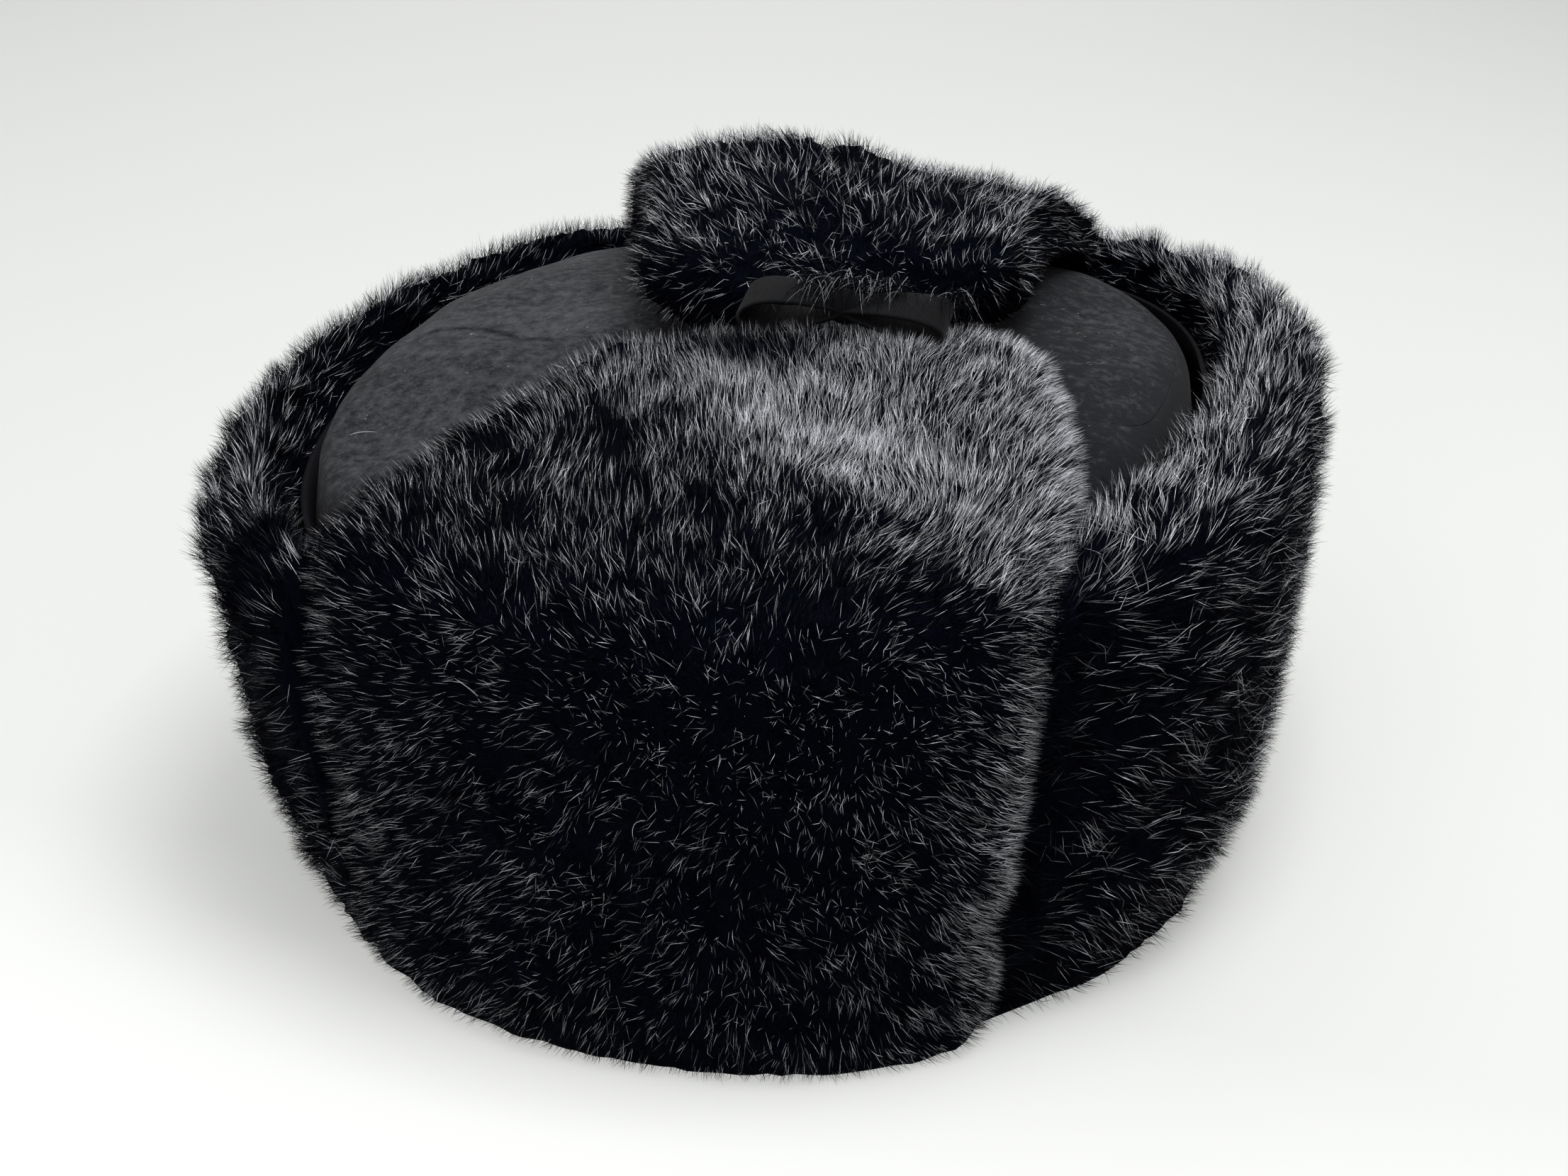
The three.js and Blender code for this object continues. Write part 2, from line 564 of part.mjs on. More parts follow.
// A tongue of an ear flap: a padded sheet carried along the middle line of its table.
function tongue(rowsTable, grow) {
  const loop = padLoop(tongueAcross, 4);
  const middle = (share) => new THREE.Vector3(...['x', 'y', 'z'].map((c) => through(rowsTable, share, c)));
  const furry = grow === 0;
  return skin(tongueSteps + 1, loop.length, (i, j) => {
    const share = i / tongueSteps;
    const { u, t, fur } = loop[j];
    const row = (column) => through(rowsTable, share, column);
    const forward = middle(Math.min(1, share + 0.02)).sub(middle(Math.max(0, share - 0.02))).normalize();
    const width = new THREE.Vector3(Math.cos(row('heading') * degrees), Math.sin(row('heading') * degrees), 0);
    const normal = width.clone().cross(forward).normalize();
    if (normal.dot(new THREE.Vector3(0, 0.6, 1)) < 0) normal.negate();
    const endTuck = i === tongueSteps ? 0.55 : 1;
    const point = middle(share)
      .addScaledVector(width, u * (row('halfWidth') + grow))
      .addScaledVector(normal, t * endTuck * (row('halfThickness') + grow));
    point.z -= row('tip') * Math.max(0, -u);
    if (!furry && i === 0) point.addScaledVector(forward, -grow);
    if (!furry && i === tongueSteps) point.addScaledVector(forward, grow + lockLean);
    const amount = furry ? fur * Math.min(1, i * 0.5) : 0;
    if (amount === 0) return point;
    const outward = normal.clone().multiplyScalar(Math.max(0.1, t)).addScaledVector(width, Math.abs(u) > 0.95 ? u : 0);
    return lockPoint(point, outward.normalize(), forward, amount * 0.85, i, j);
  });
}

// The ribbon bow: two loops of flat ribbon and the knot between them.
function ribbonBow() {
  const knot = new THREE.SphereGeometry(0.5, 10, 8);
  knot.deleteAttribute('normal');
  knot.deleteAttribute('uv');
  knot.scale(knotSize.x, knotSize.y, knotSize.z);
  let bow = solid(closedGeometry(Array.from(knot.getAttribute('position').array),
    faceList(knot)));
  for (const loop of bowLoops) bow = bow.add(solid(ribbonLoop(loop)));
  return seatBow(geometryOf(bow));
}

function seatBow(geometry) {
  return geometry.rotateZ(bowPlace.heading * degrees).translate(bowPlace.x, bowPlace.y, bowPlace.z);
}

// The room that the bow takes among the locks of the tongues and the front flap.
function bowRoom() {
  const box = new THREE.BoxGeometry(bowPocket.x, bowPocket.y, bowPocket.z);
  box.deleteAttribute('normal');
  box.deleteAttribute('uv');
  return solid(seatBow(closedGeometry(Array.from(box.getAttribute('position').array), faceList(box))));
}

function faceList(geometry) {
  const index = geometry.getIndex().array;
  const faces = [];
  for (let k = 0; k < index.length; k += 3) faces.push([index[k], index[k + 1], index[k + 2]]);
  return faces;
}

function ribbonLoop({ turn, length, opening, lean }) {
  const facingTurn = new THREE.Matrix4().makeRotationY(-turn * degrees);
  return skin(bowSteps, 4, (i, j) => {
    const around = (2 * Math.PI * i) / bowSteps;
    const out = 0.5 * length * (1 - Math.cos(around));
    const swell = 0.5 * opening * Math.sin(around) * (0.35 + 0.65 * out / length);
    const radial = j === 1 || j === 2 ? ribbonThickness / 2 : -ribbonThickness / 2;
    const side = j < 2 ? -ribbonWidth / 2 : ribbonWidth / 2;
    const taper = mix(0.5, 1, out / length);
    const normal = new THREE.Vector3(-Math.cos(around), 0, Math.sin(around));
    return new THREE.Vector3(out, side * taper, swell).addScaledVector(normal, radial)
      .applyMatrix4(facingTurn).add(new THREE.Vector3(0, 0, lean * (out / length)));
  }, { loopRows: true });
}

function material(color, roughness) {
  return new THREE.MeshStandardMaterial({ color, roughness, metalness: 0, flatShading: true });
}

const group = new THREE.Group();

function place(name, geometry, look) {
  geometry.computeVertexNormals();
  const mesh = new THREE.Mesh(geometry, look);
  mesh.name = name;
  group.add(mesh);
}

const furLook = () => material(0x15161a, 0.75);
const clothLook = () => material(0x1d1e21, 0.95);
const ribbonLook = () => material(0x0e0e10, 0.5);

const crownKeepOut = crownForm(2 * gap);
const frontForm = solid(frontFlap(pileGap));
const leftTongueForm = solid(tongue(tongueLeftRows, pileGap));
const rightTongueForm = solid(tongue(tongueRightRows, pileGap));
const bowHollow = bowRoom();

place('crown_band', crownBand(), clothLook());
place('crown_top', crownTop(), clothLook());

const front = solid(frontFlap(0)).subtract(crownKeepOut).subtract(leftTongueForm)
  .subtract(rightTongueForm).subtract(bowHollow);

const leftTongue = solid(tongue(tongueLeftRows, 0)).subtract(crownKeepOut).subtract(bowHollow);
const rightTongue = solid(tongue(tongueRightRows, 0)).subtract(crownKeepOut).subtract(leftTongueForm)
  .subtract(bowHollow);
const leftFlap = solid(flapWall(-1)).subtract(frontForm).subtract(rightTongueForm).add(leftTongue);
const rightFlap = solid(flapWall(1)).subtract(crownKeepOut).subtract(frontForm).add(rightTongue);
// The front flap's back edge gives way where the right flap's start comes close to it.
place('front_flap', geometryOf(front.subtract(rightFlap.translate([-gap / 2, -gap / 2, 0]))), furLook());
place('ear_flap_left', geometryOf(leftFlap), furLook());
place('ear_flap_right', geometryOf(rightFlap), furLook());

place('ear_facing_left', geometryOf(solid(flapFacing(-1)).subtract(frontForm).subtract(leftTongueForm)
  .subtract(rightTongueForm)), clothLook());
place('ear_facing_right', geometryOf(solid(flapFacing(1)).subtract(frontForm).subtract(leftTongueForm)
  .subtract(rightTongueForm)), clothLook());

place('tie_bow', ribbonBow(), ribbonLook());

// The frame's origin is the middle of the underside of the hat's box.
const box = new THREE.Box3().setFromObject(group);
const origin = box.getCenter(new THREE.Vector3()).setZ(box.min.z);
for (const mesh of group.children) mesh.geometry.translate(-origin.x, -origin.y, -origin.z);

export default group;
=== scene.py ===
# %% [markdown]
# # A faux-fur ushanka at rest
# A winter hat with a cloth crown, a fur front flap folded up over it, and two fur ear flaps folded
# up round the sides whose tongues are tied on top with a ribbon. The CAD holds its sizes. Here each
# surface is a function of two parameters on a numpy grid, dressed with real strands of pile.

import bpy
import numpy as np
from mathutils import Matrix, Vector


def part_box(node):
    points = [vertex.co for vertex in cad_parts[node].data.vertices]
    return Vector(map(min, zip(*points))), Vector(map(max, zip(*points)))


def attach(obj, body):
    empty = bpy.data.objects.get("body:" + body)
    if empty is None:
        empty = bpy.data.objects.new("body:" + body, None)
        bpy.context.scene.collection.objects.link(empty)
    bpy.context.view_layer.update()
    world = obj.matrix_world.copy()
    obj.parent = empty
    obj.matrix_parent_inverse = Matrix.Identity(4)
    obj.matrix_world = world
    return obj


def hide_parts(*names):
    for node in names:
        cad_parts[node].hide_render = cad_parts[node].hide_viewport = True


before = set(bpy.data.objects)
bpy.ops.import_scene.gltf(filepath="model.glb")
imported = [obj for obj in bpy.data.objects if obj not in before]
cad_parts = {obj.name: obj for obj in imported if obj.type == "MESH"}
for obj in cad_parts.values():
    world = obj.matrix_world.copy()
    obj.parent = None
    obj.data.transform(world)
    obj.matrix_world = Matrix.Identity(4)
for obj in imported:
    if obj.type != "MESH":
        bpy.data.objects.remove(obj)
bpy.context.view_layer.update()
scene = bpy.context.scene
MM = 0.001
rng = np.random.default_rng(7)

# %% [markdown]
# The hat's forms come from short tables of sizes in millimetres, read through a smooth curve.
# They are the same sizes as the CAD's, so that each piece sits where its solid is.


# %% Rows under the names of their columns
def table(columns, rows):
    """A dictionary for each row of sizes, with the columns' names from one line."""
    return [dict(zip(columns.split(), row)) for row in rows]


# %% Tables of the crown
CLOTH = 3.0
OVAL_POWER = 2.3
SHOULDER_WIDTH, SHOULDER_LENGTH, SHOULDER_SHIFT = 98.5, 114, -7
SIDE_END, SIDE_TOP = 80, 86
crown_side = table("z half_width half_length shift", [
    (0, 87, 107, 0),
    (30, 90, 109, -2),
    (60, 94.5, 112, -4.5),
    (86, 98.5, 114, -7),
])
crown_dome = table("reach front side back", [
    (0, 116, 116, 116),
    (0.22, 112, 115.5, 115.5),
    (0.45, 106, 113.5, 113.5),
    (0.66, 101, 111.5, 111),
    (0.82, 97.5, 109, 107),
    (0.93, 94, 105, 102),
    (0.985, 90, 98.5, 96),
    (1, 84, 87, 86),
])
crown_folds = table("x y lift spread", [
    (-66, -34, 2.2, 15),
    (-30, -30, -1.6, 14),
    (-84, 14, 1.8, 20),
    (-74, -62, -2.0, 16),
    (60, 46, -2.2, 22),
])
SEAM_SHOULDER, SEAM_FRONT, SEAM_GAP = 0.95, 0.27, 0.0005

# %% Tables of the folded-up flaps
wall_side = table("up half_width back front shift thickness", [
    (0, 110.5, 130, 129, 0, 22.8),
    (0.15, 116.5, 135, 131, -0.3, 21),
    (0.35, 120.5, 139, 133, -0.6, 19.5),
    (0.6, 123.5, 143.5, 134.5, -1, 19.5),
    (0.8, 125, 147.5, 135, -1.5, 21),
    (1, 123, 146, 133.5, -1.5, 22),
])
wall_top = table("angle height plump spill", [
    (-70, 101, 1, 2),
    (-35, 109, 6, 8),
    (0, 111, 8, 7),
    (50, 111, 8, 2),
    (90, 108, 6, 0),
    (130, 106.5, 3, 0),
    (175, 109, 0, 0),
    (215, 103, 0, 0),
    (250, 97, 0, 0),
    (290, 96, 2, 0),
])
wall_folds = table("angle up reach spread rise", [
    (200, 0.86, 5, 30, 0.14),
    (208, 0.6, -2, 24, 0.13),
    (222, 0.5, 6.5, 20, 0.5),
    (160, 0.82, 2.5, 22, 0.16),
    (60, 0.82, 2, 24, 0.16),
    (20, 0.88, 2, 26, 0.16),
    (-50, 0.5, -6, 13, 0.9),
    (105, 0.5, -2.5, 24, 0.2),
])
flap_ends = {1: (33.4, 37.8), -1: (30, 31)}
ROLL_START = 0.87
front_rows = table("y z left right oval round drop slant thickness", [
    (-129, 0, 73, 78, 110.5, 1, 0, 0, 22),
    (-131, 22, 75, 82, 115, 1, 0, 0, 22),
    (-133, 50, 76, 86, 119, 1, 0, 0, 23),
    (-133, 76, 75, 89, 123, 1.05, 0, 0, 24),
    (-128, 96, 73, 90, 125, 1.1, 1, 0.02, 24),
    (-113, 108, 67, 89, 125, 0.8, 3, 0.06, 21),
    (-88, 116, 56, 86, 125, 0.4, 3, 0.14, 19),
    (-59, 122.5, 42, 77, 125, 0.1, 3, 0.24, 19),
    (-29, 127, 29, 60, 125, 0, 1, 0.33, 18),
])
tongue_left = table("x y z half_width half_thickness heading tip", [
    (-68, 108, 88, 23, 8, 30, 0),
    (-65, 101, 103, 23, 9, 30, 0),
    (-56, 86, 118, 23, 9, 34, 0),
    (-43, 64, 129.5, 23, 10, 42, 4),
    (-30, 39.5, 134.5, 25, 12, 54, 7),
    (-14, 17, 131.5, 28, 13, 64, 8),
    (2, 3, 129, 29, 12, 72, 7),
    (11, -4, 124, 23, 8, 76, 3),
])
tongue_right = table("x y z half_width half_thickness heading tip", [
    (26, 124, 88, 24, 8, -10, 0),
    (26, 116, 104, 25, 9, -12, 0),
    (26, 98, 116, 27, 9, -14, 0),
    (24, 74, 124, 28, 10, -12, 0),
    (22, 50, 129.5, 30, 11, -8, 0),
    (22, 28, 130.5, 32, 12, 0, 0),
    (22, 8, 128, 32, 11, 10, 0),
    (23, -8, 123.5, 29, 8, 16, 0),
])


# %% Reading a table along a smooth curve
def ramp(value, length):
    """Rises evenly from 0 to 1 while the value goes from 0 to the length."""
    return np.clip(value / length, 0, 1)


def hill(value, middle, width):
    """A smooth hill: e to the power of minus the square of (value - middle) / width."""
    return np.exp(-(((value - middle) / width) ** 2))


def along(table, key, at, column):
    """A curve through one column, eased by t*t*(3-2t) between rows and bent by the slopes at them."""
    keys = np.array([row[key] for row in table], float)
    values = np.array([row[column] for row in table], float)
    last, at = len(keys) - 1, np.asarray(at, float)
    i = np.clip(np.searchsorted(keys, at) - 1, 0, last - 1)
    span = keys[i + 1] - keys[i]
    t = ramp(at - keys[i], span)

    def slope(k):
        low, high = np.clip(k - 1, 0, last), np.clip(k + 1, 0, last)
        return (values[high] - values[low]) / (keys[high] - keys[low]) * span

    eased = values[i] + (values[i + 1] - values[i]) * t * t * (3 - 2 * t)
    return eased + t * (1 - t) * ((1 - t) * slope(i) - t * slope(i + 1))


def read(table, key, at, *columns):
    """Several columns at once, by name."""
    return {column: along(table, key, at, column) for column in columns}


def through(table, share):
    """All columns of a table whose rows are evenly spaced from 0 to 1."""
    keyed = [{**row, "place": k / (len(table) - 1)} for k, row in enumerate(table)]
    return read(keyed, "place", share, *table[0])


# %% Vectors
def unit(v):
    """Vectors divided by their lengths."""
    return v / np.maximum(np.linalg.norm(v, axis=-1, keepdims=True), 1e-9)


def vec(*parts):
    """Arrays side by side as vectors, after they are spread to one shape."""
    return np.stack(np.broadcast_arrays(*[np.asarray(p, float) for p in parts]), axis=-1)


def oval(angle, half_width, half_length):
    """Radius of a squarish oval: (|cos|/a)^p + (|sin|/b)^p = r^-p."""
    across = np.abs(np.cos(angle)) / half_width
    lengthwise = np.abs(np.sin(angle)) / half_length
    return (across**OVAL_POWER + lengthwise**OVAL_POWER) ** (-1 / OVAL_POWER)


def shoulder(angle):
    """Radius of the crown's oval at its shoulder, which the dome stands on."""
    return oval(angle, SHOULDER_WIDTH, SHOULDER_LENGTH)


# %% [markdown]
# ## Camera and light
# The camera stands where the photograph was taken from, low in front and to the right. The hat was
# fitted to it before it was centred, so the camera moves by the same shift, which is found from the
# crown's solid: its box here against the box of the crown's formula.

# %% The shift from the fitted place to the centred one
side_angles = np.radians(np.arange(36) * 10.0)
shoulder_x = shoulder(side_angles) * np.cos(side_angles) + SHOULDER_SHIFT
low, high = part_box("crown_band")
SHIFT = np.array([1000 * low.x - shoulder_x.min(), 1000 * low.y + SHOULDER_LENGTH, 0.0])
print("shift in mm", SHIFT.round(2), "width of the crown", round(1000 * (high.x - low.x), 1))


# %% Placing by axes
def placed(holder, axes, place):
    """Links an object to the scene, turned to three axes, at a place in metres."""
    rows = np.column_stack([*axes, place]).tolist()
    holder.matrix_world = Matrix([*rows, [0, 0, 0, 1]])
    scene.collection.objects.link(holder)


# %% Camera
AZIMUTH, ELEVATION, ROLL = np.radians([20.46, 26.42, -1.33])
STANDPOINT = np.array([161.6, -443.9, 280.6]) + SHIFT
FOCAL_PIXELS, PHOTO_WIDTH = 3000, 2212
backward = np.array([np.sin(AZIMUTH) * np.cos(ELEVATION), -np.cos(AZIMUTH) * np.cos(ELEVATION),
                     np.sin(ELEVATION)])
level = np.array([np.cos(AZIMUTH), np.sin(AZIMUTH), 0])
upward = np.cross(backward, level)
right = np.cos(ROLL) * level + np.sin(ROLL) * upward
above = np.cos(ROLL) * upward - np.sin(ROLL) * level
lens = bpy.data.cameras.new("camera")
lens.sensor_width = 36
lens.lens = 36 * FOCAL_PIXELS / PHOTO_WIDTH
lens.clip_start, lens.clip_end = 0.02, 30
camera = bpy.data.objects.new("camera", lens)
placed(camera, (right, above, backward), STANDPOINT * MM)
scene.camera = camera
print("lens", round(lens.lens, 2), "mm")


# %% Soft boxes and the room's light
def soft_box(name, place, target, size, watts):
    """A rectangular lamp at a place in metres, turned to face a target."""
    lamp = bpy.data.lights.new(name, "AREA")
    lamp.shape, lamp.size, lamp.size_y, lamp.energy = "RECTANGLE", size[0], size[1], watts
    away = unit(np.array(place, float) - np.array(target, float))
    across = unit(np.cross([0, 1, 0.01], away))
    placed(bpy.data.objects.new(name, lamp), (across, np.cross(away, across), away), place)


soft_box("key_above", (0.30, -0.04, 1.25), (0, 0, 0.05), (0.6, 0.5), 12.0)
soft_box("fill_above", (0.1, -0.6, 2.0), (0, 0, 0), (2.4, 2.4), 9)
soft_box("rim_behind", (-0.4, 1.4, 1.0), (0, 0, 0.1), (1.2, 0.5), 3.5)
soft_box("front_window", (-0.5, -1.6, 0.7), (0, 0, 0.08), (1.6, 0.9), 9)
world = bpy.data.worlds.new("room")
world.use_nodes = True
air = world.node_tree.nodes["Background"].inputs
air["Color"].default_value, air["Strength"].default_value = (0.94, 0.96, 1.0, 1), 0.40
scene.world = world
scene.view_settings.view_transform = "Standard"

# %% [markdown]
# ## Shader maths
# A small class wraps a socket, so that materials read as formulas.


# %% Sockets as numbers
class Field:
    """A socket in a node tree that can be added to, multiplied and mixed."""

    def __init__(self, tree, socket):
        self.tree, self.socket = tree, socket

    def node(self, kind, settings=(), output=0, **inputs):
        """A new node of this tree. Settings come first, then values or links by socket name."""
        new = self.tree.nodes.new(kind)
        for name, value in dict(settings).items():
            setattr(new, name, value)
        for name, value in inputs.items():
            key = int(name[2:]) if name.startswith("in") and name[2:].isdigit() else name
            if isinstance(value, Field):
                self.tree.links.new(value.socket, new.inputs[key])
            else:
                new.inputs[key].default_value = value
        return Field(self.tree, new.outputs[output])

    def math(self, operation, other=0.0, swap=False):
        first, second = (other, self) if swap else (self, other)
        return self.node("ShaderNodeMath", {"operation": operation}, in0=first, in1=second)

    def __add__(self, other):
        return self.math("ADD", other)

    def __sub__(self, other):
        return self.math("SUBTRACT", other)

    def __rsub__(self, other):
        return self.math("SUBTRACT", other, swap=True)

    def __mul__(self, other):
        return self.math("MULTIPLY", other)

    __radd__, __rmul__ = __add__, __mul__

    def mix(self, low, high):
        """The colour low where this is 0, and high where it is 1."""
        new = self.tree.nodes.new("ShaderNodeMix")
        new.data_type = "RGBA"
        self.tree.links.new(self.socket, new.inputs["Factor"])
        for socket, colour in zip([s for s in new.inputs if s.type == "RGBA"], (low, high)):
            if isinstance(colour, Field):
                self.tree.links.new(colour.socket, socket)
            else:
                socket.default_value = (*colour, 1)
        return Field(self.tree, [s for s in new.outputs if s.type == "RGBA"][0])


# %% Materials from fields
def finish(name, **constants):
    """A material with one Principled shader. Returns it with a field that makes new nodes."""
    material = bpy.data.materials.new(name)
    material.use_nodes = True
    tree = material.node_tree
    shader = tree.nodes["Principled BSDF"]
    for socket, value in constants.items():
        shader.inputs[socket.replace("_", " ")].default_value = value
    return material, shader, Field(tree, None)


def feed(shader, field, socket):
    """Links a field to a socket of the shader."""
    field.tree.links.new(field.socket, shader.inputs[socket])


def place_on_piece(new):
    """The place on the piece in metres, from its own coordinates, and its x and y as fields."""
    place = new.node("ShaderNodeTexCoord", output=3)
    split = new.node("ShaderNodeSeparateXYZ", Vector=place).socket.node
    return place, Field(new.tree, split.outputs["X"]), Field(new.tree, split.outputs["Y"])


# %% [markdown]
# ## Finishes
# The pile is black acrylic fibre with almost no colour of its own. Its glints are painted: a share of the
# strands carries a pale tone as painted highlight, and the same strands get a glossy coat that catches the
# lamps. Each strand carries its own tone, and lightens a little to its tip.
# The crown's cloth is a napped, charcoal felted weave with mottling. The ribbon is finely ribbed.

# %% Fibre
pile, shader, new = finish("black_pile", Specular_IOR_Level=0.02, Coat_Roughness=0.2, Coat_IOR=1.6)
tone = new.node("ShaderNodeAttribute", {"attribute_name": "tone"}, output=2)
rise = new.node("ShaderNodeAttribute", {"attribute_name": "rise"}, output=2)
shade = tone * tone * (rise * 0.75 + 0.25)
# Base colour: near black for most strands, pale for those whose tone carries a painted glint.
feed(shader, shade.mix((0.0001, 0.0004, 0.0022), (0.92, 0.94, 0.99)), "Base Color")
feed(shader, 0.5 - tone * 0.15, "Roughness")
feed(shader, tone * 1.0, "Coat Weight")

# %% Dense underfur
underfur, shader, new = finish("dense_underfur", Specular_IOR_Level=0.02)
place = new.node("ShaderNodeTexCoord", output=3)
clumps = new.node("ShaderNodeTexNoise", Vector=place, Scale=160.0, Detail=3.0)
hairs = new.node("ShaderNodeTexNoise", Vector=place, Scale=900.0, Detail=2.0, Roughness=0.7)
feed(shader, (clumps * hairs * 1.6).mix((0.0001, 0.0003, 0.0015), (0.0014, 0.0022, 0.0058)), "Base Color")
feed(shader, 0.75 + hairs * 0.2, "Roughness")
bump = new.node("ShaderNodeBump", Height=hairs + clumps * 0.8, Strength=0.7, Distance=0.0012)
feed(shader, bump, "Normal")

# %% [markdown]
# The cloth's tone adds a fine nap, a mottling and slow wear. Painted shade comes on top: the cloth is darker
# towards the right, where the right wall shades it, and lighter towards the back. A thin fold runs along a
# bent line at the left: painted shade darkens its groove, and its lip stands up in the bump. The cloth
# darkens beside the fur, where little light comes in, by a value that its points carry: painted shade too.

# %% Napped cloth of the crown
napped, shader, new = finish("napped_cloth", Specular_IOR_Level=0.15, Sheen_Weight=0.04, Sheen_Roughness=0.5)
place, across, back = place_on_piece(new)
nap = new.node("ShaderNodeTexNoise", Vector=place, Scale=1500.0, Detail=4.0, Roughness=0.8)
mottle = new.node("ShaderNodeTexNoise", Vector=place, Scale=340.0, Detail=5.0, Roughness=0.72)
wear = new.node("ShaderNodeTexNoise", Vector=place, Scale=30.0, Detail=3.0)
wave = (across * 190.0).math("SINE") * 0.0011
aside = across + 0.070
gone = back + 0.0235 + aside * aside * 11.0 + wave
fade = ((across + 0.066) * (across + 0.066) * -2600.0).math("EXPONENT")
fold = (gone * gone * -420000.0).math("EXPONENT") * fade
lip = ((gone - 0.0028) * (gone - 0.0028) * -160000.0).math("EXPONENT") * fade
# The points carry painted shade beside the fur.
shade_by_fur = new.node("ShaderNodeAttribute", {"attribute_name": "shade_by_fur"}, output=2)
weave = nap * 1.2 + mottle * 2.2 + wear * 0.8 - 1.81
# Painted shade: darker to the right, lighter to the back, darker in the fold's groove and beside the fur.
tone = weave - across * 1.6 + back - fold * 0.4 - shade_by_fur * shade_by_fur * 0.6
feed(shader, tone.mix((0.006, 0.0065, 0.009), (0.070, 0.072, 0.077)), "Base Color")
feed(shader, 0.86 + nap * 0.12, "Roughness")
height = nap * 0.35 + mottle * 0.8 - fold * 3.0 + lip * 1.6
feed(shader, new.node("ShaderNodeBump", Height=height, Strength=0.7, Distance=0.0006), "Normal")

# %% Lining, near black as painted shade
shaded_lining, *_ = finish("lining_in_painted_shade",
                    Base_Color=(0.004, 0.004, 0.006, 1), Roughness=0.9, Specular_IOR_Level=0.1)

# %% Ribbed ribbon
ribbed, shader, new = finish("ribbed_ribbon", Specular_IOR_Level=0.18)
strip = new.node("ShaderNodeUVMap", {"uv_map": "strip"})
ribs = new.node("ShaderNodeTexWave", {"bands_direction": "X"}, Vector=strip, Scale=26.0, Distortion=0.6,
                Detail=1.0)
feed(shader, ribs.mix((0.0006, 0.0006, 0.0011), (0.005, 0.0053, 0.0068)), "Base Color")
feed(shader, 0.6 - ribs * 0.15, "Roughness")
feed(shader, new.node("ShaderNodeBump", Height=ribs, Strength=0.8, Distance=0.0004), "Normal")

# %% Lint
lint, *_ = finish("pale_lint", Base_Color=(0.42, 0.42, 0.4, 1), Roughness=0.7)


# %% [markdown]
# ## Meshes from grids
# One helper joins a grid of points into quads. It can close round its columns and its rows, and it
# shuts an open end with a fan to the middle of the last ring.


# %% Grid to object
tally = []


def piece(name, points, faces, material, uv=None, values=(), body="root"):
    """A mesh object from points in the fitted frame, in mm, and arrays of faces as rows of point numbers."""
    mesh = bpy.data.meshes.new(name)
    points = (points + SHIFT) * MM
    mesh.vertices.add(len(points))
    mesh.vertices.foreach_set("co", points.astype(np.float32).ravel())
    sizes = np.concatenate([np.full(len(f), f.shape[1]) for f in faces])
    corners = np.concatenate([f.ravel() for f in faces]).astype(np.int32)
    mesh.loops.add(len(corners))
    mesh.loops.foreach_set("vertex_index", corners)
    mesh.polygons.add(len(sizes))
    mesh.polygons.foreach_set("loop_start", np.concatenate([[0], np.cumsum(sizes)[:-1]]).astype(np.int32))
    mesh.polygons.foreach_set("use_smooth", np.full(len(sizes), True))
    for label, column in dict(values).items():
        mesh.attributes.new(label, "FLOAT", "POINT").data.foreach_set("value", column.astype(np.float32))
    if uv is not None:
        mesh.uv_layers.new(name="strip").data.foreach_set("uv", uv[corners].astype(np.float32).ravel())
    mesh.materials.append(material)
    mesh.update(calc_edges=True)
    new = bpy.data.objects.new(name, mesh)
    scene.collection.objects.link(new)
    triangles = int((sizes - 2).sum())
    if body:
        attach(new, body)
        tally.append(triangles)
    print(name, triangles, "triangles")
    return new


# %% Faces of a grid
def quads(rows, columns, loop_rows=False, loop_columns=True):
    """Faces between neighbours of a grid that is numbered row by row."""
    i, j = np.meshgrid(np.arange(rows if loop_rows else rows - 1),
                       np.arange(columns if loop_columns else columns - 1), indexing="ij")
    a, b = (i % rows) * columns, ((i + 1) % rows) * columns
    c, d = j % columns, (j + 1) % columns
    return np.stack([a + c, b + c, b + d, a + d], axis=-1).reshape(-1, 4)


def outward(points, faces):
    """The faces, turned round if the volume they enclose counts as negative."""
    p = points[faces[0][:, :3]]
    volume = np.einsum("ij,ij->i", p[:, 0], np.cross(p[:, 1], p[:, 2])).sum()
    if volume < 0:
        return [f[:, ::-1] for f in faces]
    return faces


def shut_tube(grid):
    """Points and faces of a closed skin: rings of columns, with a fan at each end."""
    rows, columns = grid.shape[:2]
    points = np.concatenate([grid.reshape(-1, 3), grid[:1].mean(axis=1), grid[-1:].mean(axis=1)])
    ring = np.arange(columns)
    following = (ring + 1) % columns
    first = np.stack([np.full(columns, rows * columns), ring, following], axis=-1)
    base = (rows - 1) * columns
    last = np.stack([np.full(columns, rows * columns + 1), base + following, base + ring], axis=-1)
    return points, outward(points, [quads(rows, columns), first, last])


# %% [markdown]
# ## The crown
# Two pieces of padded cloth: a band with the slope over the forehead, and a top panel. They meet in
# a seam that runs straight across the front and round on the shoulder. The cloth sinks into the
# seam, puckers a little beside it and has soft folds where it was pressed.


# %% Crown surfaces
def crown_side_point(angle, z, grow=0.0):
    """The upright side: an oval whose half sizes and shift are read at height z."""
    size = read(crown_side, "z", z, "half_width", "half_length", "shift")
    radius = oval(angle, size["half_width"], size["half_length"]) + grow
    return vec(size["shift"] + radius * np.cos(angle), radius * np.sin(angle), z)


def seam_reach(angle):
    """Reach of the seam: a straight line across the front, blended into a constant on the shoulder."""
    forward = np.maximum(1e-3, -np.sin(angle))
    return ((SEAM_FRONT / forward) ** -4.0 + SEAM_SHOULDER**-4.0) ** -0.25


